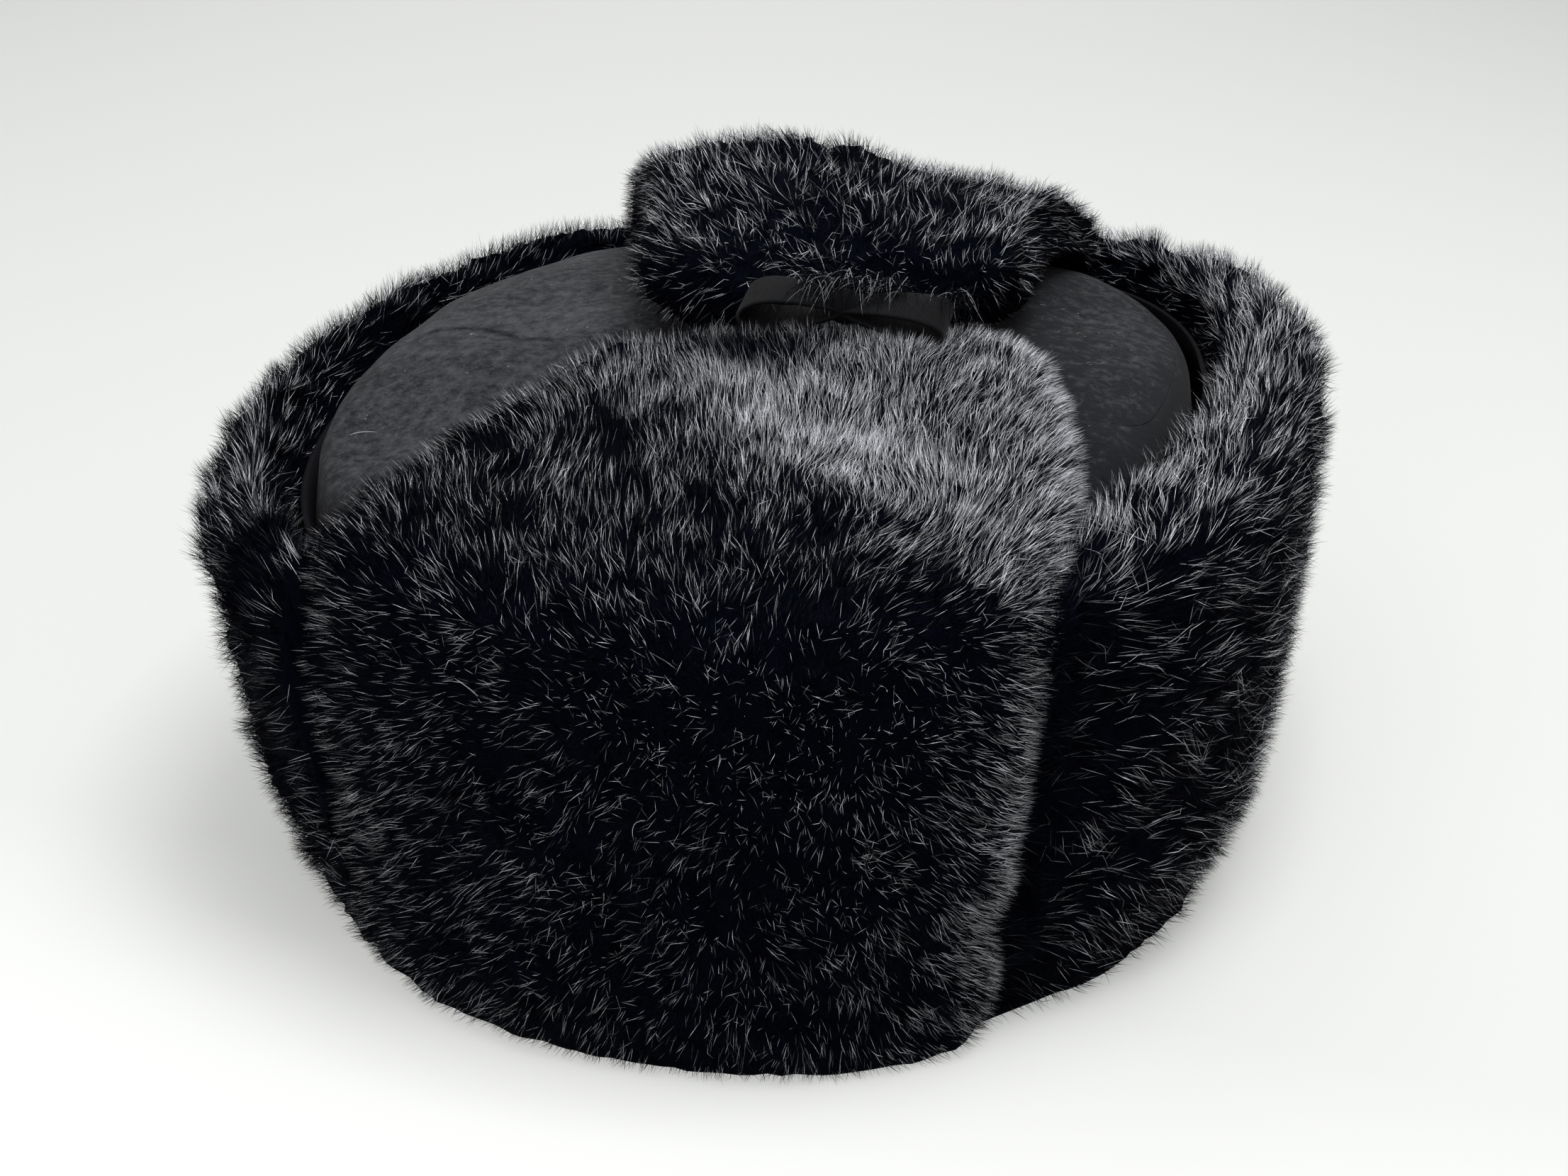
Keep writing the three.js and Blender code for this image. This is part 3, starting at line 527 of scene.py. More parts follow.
def ripple(x, y, size, seed):
    """Smooth noise from -1 to 1: a sum of seeded plane waves of about that size in mm."""
    waves = np.random.default_rng(seed)
    total = 0
    for _ in range(7):
        turn, phase, scale = waves.uniform(0, 2 * np.pi, 2).tolist() + [waves.uniform(0.7, 1.4)]
        total = total + np.sin((x * np.cos(turn) + y * np.sin(turn)) * 2 * np.pi / (size * scale) + phase)
    return total / 4


# %% The dome
def crown_dome_point(angle, reach, grow=0.0):
    """The dome: its height is read at the reach for front, side and back and mixed by sine squared."""
    sine = np.sin(angle)
    front, back = np.maximum(0, -sine) ** 2, np.maximum(0, sine) ** 2
    height = read(crown_dome, "reach", reach, "front", "side", "back")
    z = height["side"] * (1 - front - back) + height["front"] * front + height["back"] * back
    radius = shoulder(angle) * reach + grow * np.minimum(1, reach * 1.5)
    x, y = radius * np.cos(angle) + SHOULDER_SHIFT, radius * sine
    inside = np.minimum(1, (1 - reach) * 12)
    for fold in crown_folds:
        away = (x - fold["x"]) ** 2 + (y - fold["y"]) ** 2
        z = z + fold["lift"] * np.exp(-away / fold["spread"] ** 2) * inside
    to_seam = np.abs(reach - seam_reach(angle)) * 100
    crease = 0.12 * hill(to_seam, 0, 1.6) + 0.08 * np.exp(-to_seam / 6) * (1 + np.sin(angle * 71))
    z = z + inside * (0.7 * ripple(x, y, 34, 3) + 0.3 * ripple(x, y, 13, 4) - crease)
    return vec(x, y, z + grow * inside)


def on_dome(x, y):
    """Angle and reach of a place on the dome, from its x and y."""
    angle = np.arctan2(y, x - SHOULDER_SHIFT)
    return angle, np.hypot(x - SHOULDER_SHIFT, y) / shoulder(angle)


# %% Shells of cloth
def crown_shell(name, rows_of, node, middle=False, columns=180):
    """A wall of cloth: the outer rows, then the inner rows back again, closed round the hat. Its value of
    painted shade is 1 within 3 mm of the fur that lies on it, and fades by e^(-d/12) past that."""
    turn = np.linspace(0, 2 * np.pi, columns + 1)[:-1]
    outer = np.stack(rows_of(turn, 0.0))
    inner = np.stack(rows_of(turn, -CLOTH))[::-1]
    grid = np.concatenate([outer, inner])
    if middle:
        points, faces = shut_tube(grid)
    else:
        points = grid.reshape(-1, 3)
        faces = outward(points, [quads(len(grid), columns, loop_rows=True)])
    away = np.sqrt(((points[:, None] - covers[None]) ** 2).sum(-1).min(axis=1))
    # Each point carries its painted shade beside the fur.
    new = piece(name, points, faces, napped, values={"shade_by_fur": np.exp(-np.maximum(away - 3, 0) / 12)})
    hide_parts(node)


# %% Band and top panel
def band_rows(turn, grow):
    """Up the side, over the shoulder, and in to the seam."""
    rows = [crown_side_point(turn, z, grow) for z in np.linspace(0, SIDE_END, 9)]
    seam = seam_reach(turn) + SEAM_GAP
    steps = np.append(np.linspace(0, 1, 15)[:-1], [0.99, 1])
    return rows + [crown_dome_point(turn, 1 + (seam - 1) * k**1.35, grow) for k in steps]


def top_rows(turn, grow):
    """From a small ring round the middle out to the seam."""
    seam = seam_reach(turn) - SEAM_GAP
    steps = np.append(np.linspace(0.02, 1, 24)[:-1], [0.997, 1])
    return [crown_dome_point(turn, seam * k, grow) for k in steps]


# %% [markdown]
# ## Forms of the fur pieces
# Each fur piece is a padded form. Its surface of pile tips is the CAD's. The dense pile lies 3 to 4
# millimetres under that surface, and the strands are rooted in it.


# %% Keeping clear of the crown
def clear_of_crown(points, space=0.8):
    """Moves points that lie inside the crown out to its side, or up to its dome."""
    x, y, z = np.moveaxis(points, -1, 0)
    size = read(crown_side, "z", np.clip(z, 0, SIDE_TOP), "half_width", "half_length", "shift")
    angle = np.arctan2(y, x - size["shift"])
    side = oval(angle, size["half_width"], size["half_length"]) + space
    pushed = np.maximum(np.hypot(x - size["shift"], y), np.where(z < SIDE_TOP + 1, side, 0))
    out = vec(size["shift"] + pushed * np.cos(angle), pushed * np.sin(angle), z)
    angle, reach = on_dome(out[..., 0], out[..., 1])
    dome = crown_dome_point(angle, np.clip(reach, 0, 1))[..., 2] + space
    out[..., 2] = np.where((reach < 1) & (z >= SIDE_END), np.maximum(z, dome), z)
    return out


# %% The folded-up ear and neck flaps
def wall_point(angle, across, up):
    """A place in the wall: across from its inner face (0) to the tips (1), up from rim (0) to top (1)."""
    turned = (np.degrees(angle) + 430) % 360 - 70
    top = read(wall_top, "angle", turned, "height", "plump", "spill")
    z = up * top["height"]
    side = read(wall_side, "up", up, "half_width", "back", "front", "shift", "thickness")
    back = 0.5 + 0.5 * np.clip(np.sin(angle) * 2.2, -1, 1)
    reach = oval(angle, side["half_width"], side["front"] + (side["back"] - side["front"]) * back)
    swell = 0
    for fold in wall_folds:
        turn = (np.degrees(angle) - fold["angle"] + 540) % 360 - 180
        away = -((turn / fold["spread"]) ** 2) - ((up - fold["up"]) / fold["rise"]) ** 2
        swell = swell + fold["reach"] * np.exp(away)
    reach = reach + side["shift"] * np.cos(angle) + swell
    thickness = side["thickness"] + top["plump"] * ramp(up - 0.5, 0.35) ** 2 + np.maximum(0, swell)
    height = np.minimum(z, SIDE_TOP)
    towards = angle
    for _ in range(4):
        at = crown_side_point(towards, height)
        towards = towards + (angle - np.arctan2(at[..., 1], at[..., 0]) + 3 * np.pi) % (2 * np.pi) - np.pi
    at = crown_side_point(towards, height)
    crown = np.hypot(at[..., 0], at[..., 1])
    clearance = 0.6 + ramp(up, 0.174) * 3.3
    inner = np.maximum(reach - thickness, crown + clearance) - top["spill"] * ramp(up - ROLL_START, 0.08)
    radius = inner + (reach - inner) * across
    return vec(radius * np.cos(angle), radius * np.sin(angle), z)


def wall_section(outer=44, roll=22, inner=10, under=6):
    """The loop round the wall: up the outside, over the top in a half circle, down the inside, under."""
    k = np.linspace(0, 1, outer)
    turn = np.linspace(0, np.pi, roll + 2)[1:-1]
    m, u = np.linspace(0, 1, inner), np.linspace(0, 1, under + 2)[1:-1]
    across = np.concatenate([np.ones(outer), 0.5 + 0.5 * np.cos(turn), np.zeros(inner), u])
    over = ROLL_START + (1 - ROLL_START) * np.sin(turn)
    up = np.concatenate([ROLL_START * k, over, ROLL_START * (1 - m), u * 0])
    fur = np.concatenate([np.clip(0.55 + k * 8, 0, 1), np.ones(roll), np.clip(0.6 - 4 * m, 0, 1), u * 0])
    return across, up, fur


def flap_angle(side, up, share):
    """Angle round the hat: from the flap's leaning edge beside the front flap (0) to the back seam (1)."""
    low, high = flap_ends[side]
    edge = low + (high - low) * up
    start = np.radians(-90 + edge if side > 0 else 270 - edge)
    return start + (np.pi / 2 - start) * share


def wall_form(side, stations=150):
    """Grid of pile tips of one flap, with its amount of fur and the angles of its stations."""
    across, up, fur = wall_section()
    angle = flap_angle(side, up, np.linspace(0, 1, stations)[:, None])
    return wall_point(angle, across, up), np.broadcast_to(fur, angle.shape), angle


# %% The front flap and the tongues
flap_corner = [[0.95, 1], [0.985, 0.86], [1, 0.5], [1, 0.05], [1, -0.4], [0.98, -0.8], [0.93, -1]]
pillow_corner = [[0.84, 0.99], [0.92, 0.88], [0.98, 0.6], [1, 0.2], [1, -0.3], [0.97, -0.75], [0.9, -1]]


def pad_loop(face=56, back=16, corner=flap_corner):
    """The loop round a padded sheet: u across its width, t from its back (-1) to its face (1)."""
    corner = np.array(corner)
    face_u = np.linspace(-1, 1, face)[1:-1] * corner[0, 0]
    back_u = np.linspace(1, -1, back)[1:-1] * corner[-1, 0]
    u = np.concatenate([face_u, corner[:, 0], back_u, -corner[::-1, 0]])
    t = np.concatenate([face_u * 0 + 1, corner[:, 1], back_u * 0 - 1, corner[::-1, 1]])
    fur = np.clip((t + 0.9) * 1.2, 0, 1)
    return u, t, fur


# %% The front flap's form
def front_face(share, u):
    """Tips of the front flap's face: rows up and back over the crown, bent round the head oval."""
    row = through(front_rows, share)
    x = u * np.where(u < 0, row["left"], row["right"])
    curve = 1 - (1 - np.minimum(0.999, np.abs(x / row["oval"])) ** OVAL_POWER) ** (1 / OVAL_POWER)
    back = 129 * curve * row["round"] + row["slant"] * x
    return vec(x, row["y"] + back, row["z"] - row["drop"] * np.abs(u) ** 2.2)


def face_normal(surface, share, u, reference):
    """Outward direction, from small steps along both parameters."""
    share, u, step = np.clip(share, 0.01, 0.99), np.clip(u, -0.98, 0.98), 0.004
    normal = unit(np.cross(surface(share + step, u) - surface(share - step, u),
                           surface(share, u + step) - surface(share, u - step)))
    return normal * np.where((normal * reference).sum(-1, keepdims=True) < 0, -1, 1)


def front_form(rows=96):
    """Grid of pile tips of the front flap. Its rim lies flat, and its free end is tucked thinner."""
    u, t, fur = pad_loop()
    share = np.linspace(0, 1, rows)[:, None]
    tuck = ramp(1 - share, 0.05) ** 0.5
    tip = front_face(share, u * (0.93 + 0.07 * tuck))
    normal = face_normal(front_face, share + 0 * u, u + 0 * share, [0, -1, 0.4])
    normal[..., 2] *= ramp(tip[..., 2], 20)
    normal = unit(normal)
    thickness = through(front_rows, share)["thickness"]
    thin = 0.25 * ramp(np.abs(u) - 0.86, 0.14) ** 2
    depth = thickness * (1 - t * (0.55 + 0.45 * tuck)) / 2 + thickness * thin * np.maximum(0, t) * 0.5
    grid = tip - normal * depth[..., None]
    grid = np.where((t < 0.3)[None, :, None], clear_of_crown(grid), grid)
    grid[..., 2] = np.maximum(0, grid[..., 2])
    fur = fur * np.clip(0.55 + share * 6, 0, 1)
    return capped(grid, 5), np.concatenate([fur, np.repeat(fur[-1:], 5, axis=0)])


def capped(grid, rows=7, bulge=3.0):
    """A padded end for a grid: its last ring drawn in to the middle over a dome of that height in mm."""
    ring, middle = grid[-1], grid[-1].mean(axis=0)
    ahead = unit(grid[-1].mean(axis=0) - grid[-4].mean(axis=0))
    turn = np.linspace(0, np.pi / 2, rows + 1)[1:, None, None]
    dome = middle + (ring - middle) * np.cos(turn * 0.97) + ahead * bulge * np.sin(turn)
    return np.concatenate([grid, dome])


# %% A tongue's form
def tongue_form(rows_table, rows=66):
    """Grid of pile tips of a tongue: a padded sheet carried along the middle line of its table."""
    u, t, fur = pad_loop(34, 14, pillow_corner)
    share = np.linspace(0, 1, rows)[:, None]
    row = through(rows_table, share)
    middle = vec(row["x"], row["y"], row["z"])
    step = np.gradient(middle[:, 0], axis=0)[:, None]
    heading = np.radians(row["heading"])
    width = vec(np.cos(heading), np.sin(heading), 0)
    normal = unit(np.cross(width, unit(step)))
    normal = normal * np.where(normal[..., 2:] + 0.6 * normal[..., 1:2] < 0, -1, 1)
    tuck = ramp(1 - share, 0.06) ** 0.5
    out = (u * (0.85 + 0.15 * tuck) * row["half_width"])[..., None] * width
    grid = middle + out + (t * (0.45 + 0.55 * tuck) * row["half_thickness"])[..., None] * normal
    grid[..., 2] -= row["tip"] * np.maximum(0, -u)
    grid = capped(np.where((t < 0)[None, :, None], clear_of_crown(grid), grid))
    fur = np.clip((t + 1.15) * 1.1, 0, 1)
    return grid, fur * np.ones((len(grid), 1))


# %% [markdown]
# ## Growing the pile
# A strand is a slim closed spike of four faces, or one with a bend in it. Blender's own hair would
# be lost in the export, so each strand is a mesh. Roots are spread by area, a little under the dense
# pile's skin. A strand's direction adds six things: straight out of the surface, the nap's flow, a
# lean that its tuft shares, slow eddies, a pull to the tuft's middle, and its own scatter.


# %% Strands
SINK, FACE_SINK = 3.8, 3.1


def normals_of(grid):
    """Outward unit normals of a grid that closes round its columns, from its differences both ways."""
    padded = np.concatenate([grid[:, -1:], grid, grid[:, :1]], axis=1)
    normal = unit(np.cross(np.gradient(grid, axis=0), np.gradient(padded, axis=1)[:, 1:-1]))
    sign = np.sign((normal * (grid - grid.mean(axis=1, keepdims=True))).sum())
    return normal * (sign or 1)


def ring_round(axis, towards):
    """Three unit directions square to each axis, a third of a turn apart."""
    side = unit(np.cross(axis, towards))
    other = np.cross(axis, side)
    turn = 2 * np.pi * np.arange(3)[None, :, None] / 3
    return np.cos(turn) * side[:, None] + np.sin(turn) * other[:, None]


def spikes(root, lean, bend, length, width, tone):
    """Closed spikes. Straight ones have a base of three points and a tip, bent ones a ring between."""
    n = len(root)
    ring = ring_round(lean, rng.normal(size=(n, 3)))
    base = root[:, None] + ring * (width * 0.5)[:, None, None]
    if bend is None:
        tip = root + lean * length[:, None]
        points = np.concatenate([base, tip[:, None]], axis=1)
        faces = np.array([[0, 2, 1], [0, 1, 3], [1, 2, 3], [2, 0, 3]])
        rise = np.array([0, 0, 0, 1.0])
    else:
        middle = root + lean * (0.55 * length)[:, None]
        tip = middle + unit(lean + bend) * (0.45 * length)[:, None]
        second = middle[:, None] + ring * (width * 0.42)[:, None, None]
        points = np.concatenate([base, second, tip[:, None]], axis=1)
        faces = np.array([[0, 2, 1], [0, 1, 4], [0, 4, 3], [1, 2, 5], [1, 5, 4], [2, 0, 3], [2, 3, 5],
                          [3, 4, 6], [4, 5, 6], [5, 3, 6]])
        rise = np.array([0, 0, 0, 0.55, 0.55, 0.55, 1.0])
    count = points.shape[1]
    faces = (faces[None] + count * np.arange(n)[:, None, None]).reshape(-1, 3)
    return points.reshape(-1, 3), faces, np.tile(rise, n), np.repeat(tone, count)


# %% [markdown]
# Fur is never even. It is pressed, parted and lifted where hands and folds have been. A mark is a soft
# hill at one place that lifts the tips, sprays the strands away from it or turns them round it. All
# marks are added to the even surface before the strands grow, so that pile and padding share them.


# %% Marks on the pile
def mark(x, y, z, spread, lift=0, spray=0, turn=0):
    """A local mark: its place and spread in mm, how far it lifts the pile, and how it sprays or turns it."""
    return np.array([x, y, z]), spread, lift, spray, turn


def marks_on(points, normal, marks):
    """Lift and flow that local marks add. Each fades by e^(-(d/spread)^2) with the distance d from it."""
    height, push = np.zeros(points.shape[:-1]), np.zeros(points.shape)
    for place, spread, lift, spray, turn in marks:
        away = points - place
        near = np.exp(-(away**2).sum(-1) / spread**2)
        spoke = away / spread
        height = height + lift * near
        push = push + near[..., None] * (spray * spoke + turn * np.cross(normal, spoke))
    return height * np.clip(normal[..., 2] * 2.5 + 0.8, 0, 1), push


def tufted(grid, fur, marks, size=26, amount=0.8, seed=5):
    """The tips' surface with its marks and an even unrest of that size, the marks' flow, and its normals.
    Where a mark folds the surface over at an edge, the normals of the even surface stay. At the rim they
    lie level, so that the sunk rim stays on the floor."""
    normal = normals_of(grid)
    lift, push = marks_on(grid, normal, marks)
    x, y, z = np.moveaxis(grid, -1, 0)
    rest = ripple(x + 0.5 * z, y - 0.4 * z, size, seed) + ripple(y + z, x - 0.3 * z, 0.6 * size, seed + 1)
    moved = grid + normal * ((lift + amount * rest - 0.5 * amount) * fur)[..., None]
    moved[..., 2] = np.maximum(moved[..., 2], 0)
    facing = normals_of(moved)
    facing = np.where((facing * normal).sum(-1, keepdims=True) < 0.5, normal, facing)
    facing[..., 2] *= ramp(moved[..., 2], 8)
    return moved, push, unit(facing)


# %% [markdown]
# Each strand draws its place, its tuft, its lean, its length and its tone, all from one seeded generator.
# Most strands stay nearly black and a share of them carries a painted glint, more of them where the ground
# lies level and the painted gleam is strong. Painted shade darkens them where a piece asks for it. That gives
# dark pile with single glints, and not an even grey.


# %% Growing the strands of one piece
TUFTS, TUFT_HASH = 9973, np.array([73856093, 19349663, 83492791])
# Shares of strands with a painted glint: on upright ground, and more where the painted gleam is full.
DARK_SHARE, LIT_SHARE = 0.18, 0.40


def grow(name, grid, normal, fur, flow, triangles, painted_shade, painted_gleam, seed, width, bent, length=6.2, clump=3.4,
         scatter=0.3, swirl=0.5, gather=0.5, unrest=0.17, node=None, weight=None, sink=SINK, extra_painted_gleam=None):
    """Pile on a grid of tips. Roots fall by area where there is fur, as deep as the strand stands tall. On
    upright ground about one strand in six carries a painted glint. On level ground the pile lies in the
    light, and more than half of it carries a painted glint."""
    local = np.random.default_rng(seed)
    corner, wrapped = grid[:-1], np.concatenate([grid, grid[:, :1]], axis=1)
    area = np.linalg.norm(np.cross(grid[1:] - corner, wrapped[:-1, 1:] - corner), axis=-1)
    chance = area * (fur[:-1] > 0.05) * (1 if weight is None else weight[:-1])
    chance = chance.ravel() / chance.sum()
    straight, curved = int(triangles * (1 - bent) / 4), int(triangles * bent / 10)
    cells = local.choice(len(chance), size=straight + curved, p=chance)
    i, j = np.divmod(cells, grid.shape[1])
    a, b = local.random(len(cells)), local.random(len(cells))

    def sample(values):
        """A value at each root, mixed from the four corners of its cell."""
        k = (j + 1) % grid.shape[1]
        a1, b1 = (a[:, None], b[:, None]) if values.ndim == 3 else (a, b)
        low = values[i, j] * (1 - b1) + values[i, k] * b1
        high = values[i + 1, j] * (1 - b1) + values[i + 1, k] * b1
        return low * (1 - a1) + high * a1

    tip, out, amount, nap = sample(grid), unit(sample(normal)), sample(fur), sample(flow)

    def tuft(size):
        """For each root the number of its tuft, and the way to the tuft's middle."""
        cell = np.floor((tip + 500) / size).astype(np.int64)
        return (cell * TUFT_HASH).sum(-1) % TUFTS, ((cell + 0.5) * size - 500 - tip) / size

    tilts = local.normal(size=(TUFTS, 3))
    small, _ = tuft(clump)
    big, inward = tuft(2.6 * clump)
    tall = local.uniform(0.86, 1.12, TUFTS)[small]
    eddy = vec(ripple(tip[:, 0], tip[:, 1] + tip[:, 2], 31, seed + 10),
               ripple(tip[:, 1], tip[:, 2] - tip[:, 0], 29, seed + 20),
               ripple(tip[:, 2], tip[:, 0] + tip[:, 1], 33, seed + 30))
    lean = out + nap + unrest * (tilts[small] + tilts[big]) + swirl * eddy + gather * inward
    lean = unit(lean + scatter * local.normal(size=out.shape))
    upright = (lean * out).sum(-1)
    lean = unit(lean + out * np.maximum(0, 0.35 - upright)[:, None] * 1.5)
    upright = (lean * out).sum(-1)
    long = length * tall * local.uniform(0.78, 1.15, len(tip)) * (0.4 + 0.6 * amount)
    long *= np.where(local.random(len(tip)) < 0.02, local.uniform(1.1, 1.4, len(tip)), 1)
    least = 0.74 - 0.36 * np.exp(-tip[:, 2] / 5)
    deep = upright * long * (least + (0.98 - least) * local.random(len(tip)))
    root = tip - out * np.clip(deep, (sink + 0.4) * amount, 8)[:, None]
    # Painted highlight: the gleam counts where the ground faces up, and the extra painted gleam adds to it.
    level = (sample(painted_gleam) if isinstance(painted_gleam, np.ndarray) else painted_gleam) * np.clip(out[:, 2], 0, 1) ** 2.5
    if extra_painted_gleam is not None:
        level = level + sample(extra_painted_gleam)
    dim = np.clip(1 - level, 0, 1)
    patch = 1 + dim * (0.6 * ripple(tip[:, 0] + tip[:, 2], tip[:, 1] - tip[:, 2], 17, seed + 40)
                       + local.uniform(-0.8, 0.8, TUFTS)[small])
    patch = patch + 0.3 * np.clip(level, 0, 1) * ripple(tip[:, 0], tip[:, 1] - tip[:, 2], 8, seed + 50)
    # The strands that shine carry a pale tone: a painted glint.
    shines = local.random(len(tip)) < (DARK_SHARE + LIT_SHARE * level) * patch
    shades = np.where(shines, 0.33 + 0.16 * level + 0.85 * local.random(len(tip)) ** 1.5,
                      local.uniform(0, 0.07, len(tip)) + 0.12 * level * local.random(len(tip)))
    # Painted shade darkens the strands where a piece asks for it.
    shades = shades * (1 - sample(painted_shade))
    wide = width * local.uniform(0.75, 1.2, len(tip))
    s, c = slice(0, straight), slice(straight, None)
    curl = 0.6 * local.normal(size=out[c].shape) + 0.35 * nap[c] - np.array([0, 0, 0.1])
    one = spikes(root[s], lean[s], None, long[s], wide[s], shades[s])
    two = spikes(root[c], lean[c], curl, long[c] * 1.08, wide[c], shades[c])
    points = np.concatenate([one[0], two[0]])
    points[:, 2] = np.maximum(points[:, 2], 0.05)
    faces = np.concatenate([one[1], two[1] + len(one[0])])
    new = piece(name, points, [faces], pile,
                values={"rise": np.concatenate([one[2], two[2]]), "tone": np.concatenate([one[3], two[3]])})
    if node:
        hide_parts(node)


# %% Curved hairs
def hairs(name, roots, leans, bends, length, width, shade):
    """Single curved hairs: closed tubes of three sides that turn a little at each of six rings."""
    heading, place = unit(leans), roots
    ring = ring_round(heading, [0.3, 0.5, 0.8])
    rings, n = [], len(roots)
    for k in range(6):
        rings.append(place[:, None] + 0.5 * width * (1 - 0.13 * k) * ring)
        heading = unit(heading + bends / 6)
        place = place + heading * (length / 6)[:, None]
    points = np.concatenate([*rings, place[:, None]], axis=1)
    faces = [[0, 2, 1]] + [f for k in range(0, 15, 3) for a, b in ((0, 1), (1, 2), (2, 0))
                           for f in ([k + a, k + b, k + 3 + b], [k + a, k + 3 + b, k + 3 + a])]
    faces = np.array(faces + [[15, 16, 18], [16, 17, 18], [17, 15, 18]])
    faces = (faces[None] + 19 * np.arange(n)[:, None, None]).reshape(-1, 3)
    new = piece(name, points.reshape(-1, 3), [faces], pile,
                values={"rise": np.ones(19 * n), "tone": np.repeat(shade, 19)})


# %% Dense pile under the strands
def padding(name, grid, normal, fur, node, sink=SINK):
    """The dense pile: the tips' surface sunk inwards where there is fur, with small tufts."""
    x, y, z = np.moveaxis(grid, -1, 0)
    tuft = ripple(x + 0.4 * z, y - 0.3 * z, 7, 40) + ripple(y + z, x - z, 5.5, 41)
    body = grid - normal * ((sink + 0.7 * tuft) * fur)[..., None]
    body[..., 2] = np.maximum(body[..., 2], 0.0)
    points, faces = shut_tube(body)
    new = piece(name, points, faces, underfur)
    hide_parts(node)


# %% [markdown]
# ## Front flap
# The flap is folded up over the forehead, and its free end lies back over the crown. Marks raise and part its
# pile where the real one is rubbed. Above a bent brow line the pile lies in the light, and brightest at the
# right: a painted highlight that its strands carry as their own tone, beside what the lamps give. A dark
# whorl on top gets painted shade, and the right edge and the lower right of the face get extra painted gleam.

# %% Front flap
front_marks = [
    mark(-26, -79, 114, 15, lift=-1.6, turn=1.6, spray=0.6),
    mark(-9, -32, 122, 20, lift=-1.5, turn=-1.2),
    mark(20, -70, 116, 24, lift=0.8, spray=0.5),
    mark(52, -84, 110, 16, lift=-0.8, turn=1.4),
    mark(54, -108, 88, 14, lift=-0.6, turn=-1.5),
    mark(-45, -104, 70, 22, lift=0.9, spray=0.5),
    mark(-12, -30, 124, 14, lift=2.0),
    mark(14, -30, 125, 16, lift=2.6),
    mark(38, -34, 124, 14, lift=2.4, spray=0.4),
    mark(-40, -122, 5, 22, lift=7),
    mark(-5, -130, 5, 26, lift=9),
    mark(35, -126, 5, 24, lift=8),
    mark(64, -110, 5, 18, lift=6),
]
front, front_fur = front_form()
share = np.linspace(0, 1, len(front))[:, None]
u, *_ = pad_loop()
front, push, front_normal = tufted(front, front_fur, front_marks)
covering = [front]
along_up = unit(np.gradient(front, axis=0))
side_push = -0.12 + 0.2 * u + 1.1 * np.sign(u) * np.abs(u) ** 4
lift = np.interp(share, [0, 0.1, 0.3, 0.55, 0.7, 1], [-0.3, 0.0, 0.25, 0.45, 0.9, 0.8])
lift = lift * (1 - 0.75 * np.abs(u) ** 4)
flow = push + lift[..., None] * along_up + side_push[..., None] * np.array([1, 0, 0]) * np.ones_like(front)
padding("front_flap_pad", front, front_normal, front_fur, "front_flap", sink=FACE_SINK)

# %% Painted gleam and pile of the front flap
UPPER_PART = 0.56
top = (share > UPPER_PART) * 1.0 + 0 * u
x, y, z = np.moveaxis(front, -1, 0)
# Painted highlight: above the brow line, brighter to the right, and brightest in a band just above the brow
# at the right.
brow = np.interp(x, [-60, -10, 8, 30, 58, 80], [-80, -65, -75, -83, -90, -104])
lit = 1 / (1 + np.exp(-(y - brow) / 2.5))
band = lit * hill(np.maximum(0, y - brow - 8), 0, 20)
painted_gleam = 0.04 + 0.42 * lit + 0.42 * lit / (1 + np.exp(-(x + 4) / 6.0)) + 0.95 * band * hill(x, 38, 36)
# A dark whorl on top: the painted gleam is cut there, and painted shade darkens its strands.
dark_swirl = np.exp(-(((x - 5) / 16) ** 2) - ((y + 40) / 8) ** 2) * (z > 100)
painted_gleam *= 1 - 0.8 * dark_swirl
# Extra painted gleam along the right edge and at the lower right of the face.
extra_painted_gleam = 0.75 * hill(u, 0.95, 0.08) * ramp(share, 0.15)
extra_painted_gleam = extra_painted_gleam + 0.22 * ramp(u - 0.45, 0.4) * ramp(0.5 - share, 0.2)
front_pile = dict(painted_shade=0.6 * dark_swirl, painted_gleam=painted_gleam, extra_painted_gleam=extra_painted_gleam, bent=0.12, length=5.2, sink=FACE_SINK,
                  scatter=0.27, swirl=0.25, gather=0.1, unrest=0.09)
grow("front_flap_pile_low", front, front_normal, front_fur, flow, 177_000, seed=11, width=0.15,
     weight=1 - top, node="front_flap", **front_pile)
grow("front_flap_pile_high", front, front_normal, front_fur, flow, 172_000, seed=12, width=0.16,
     weight=top, **front_pile)

# %% [markdown]
# ## Ear and neck flaps
# Two walls of fur run from beside the front flap to the back seam. Their pile sweeps backwards, and
# is combed hardest beside the front flap. The left wall lies in the shade, so fewer strands shine.

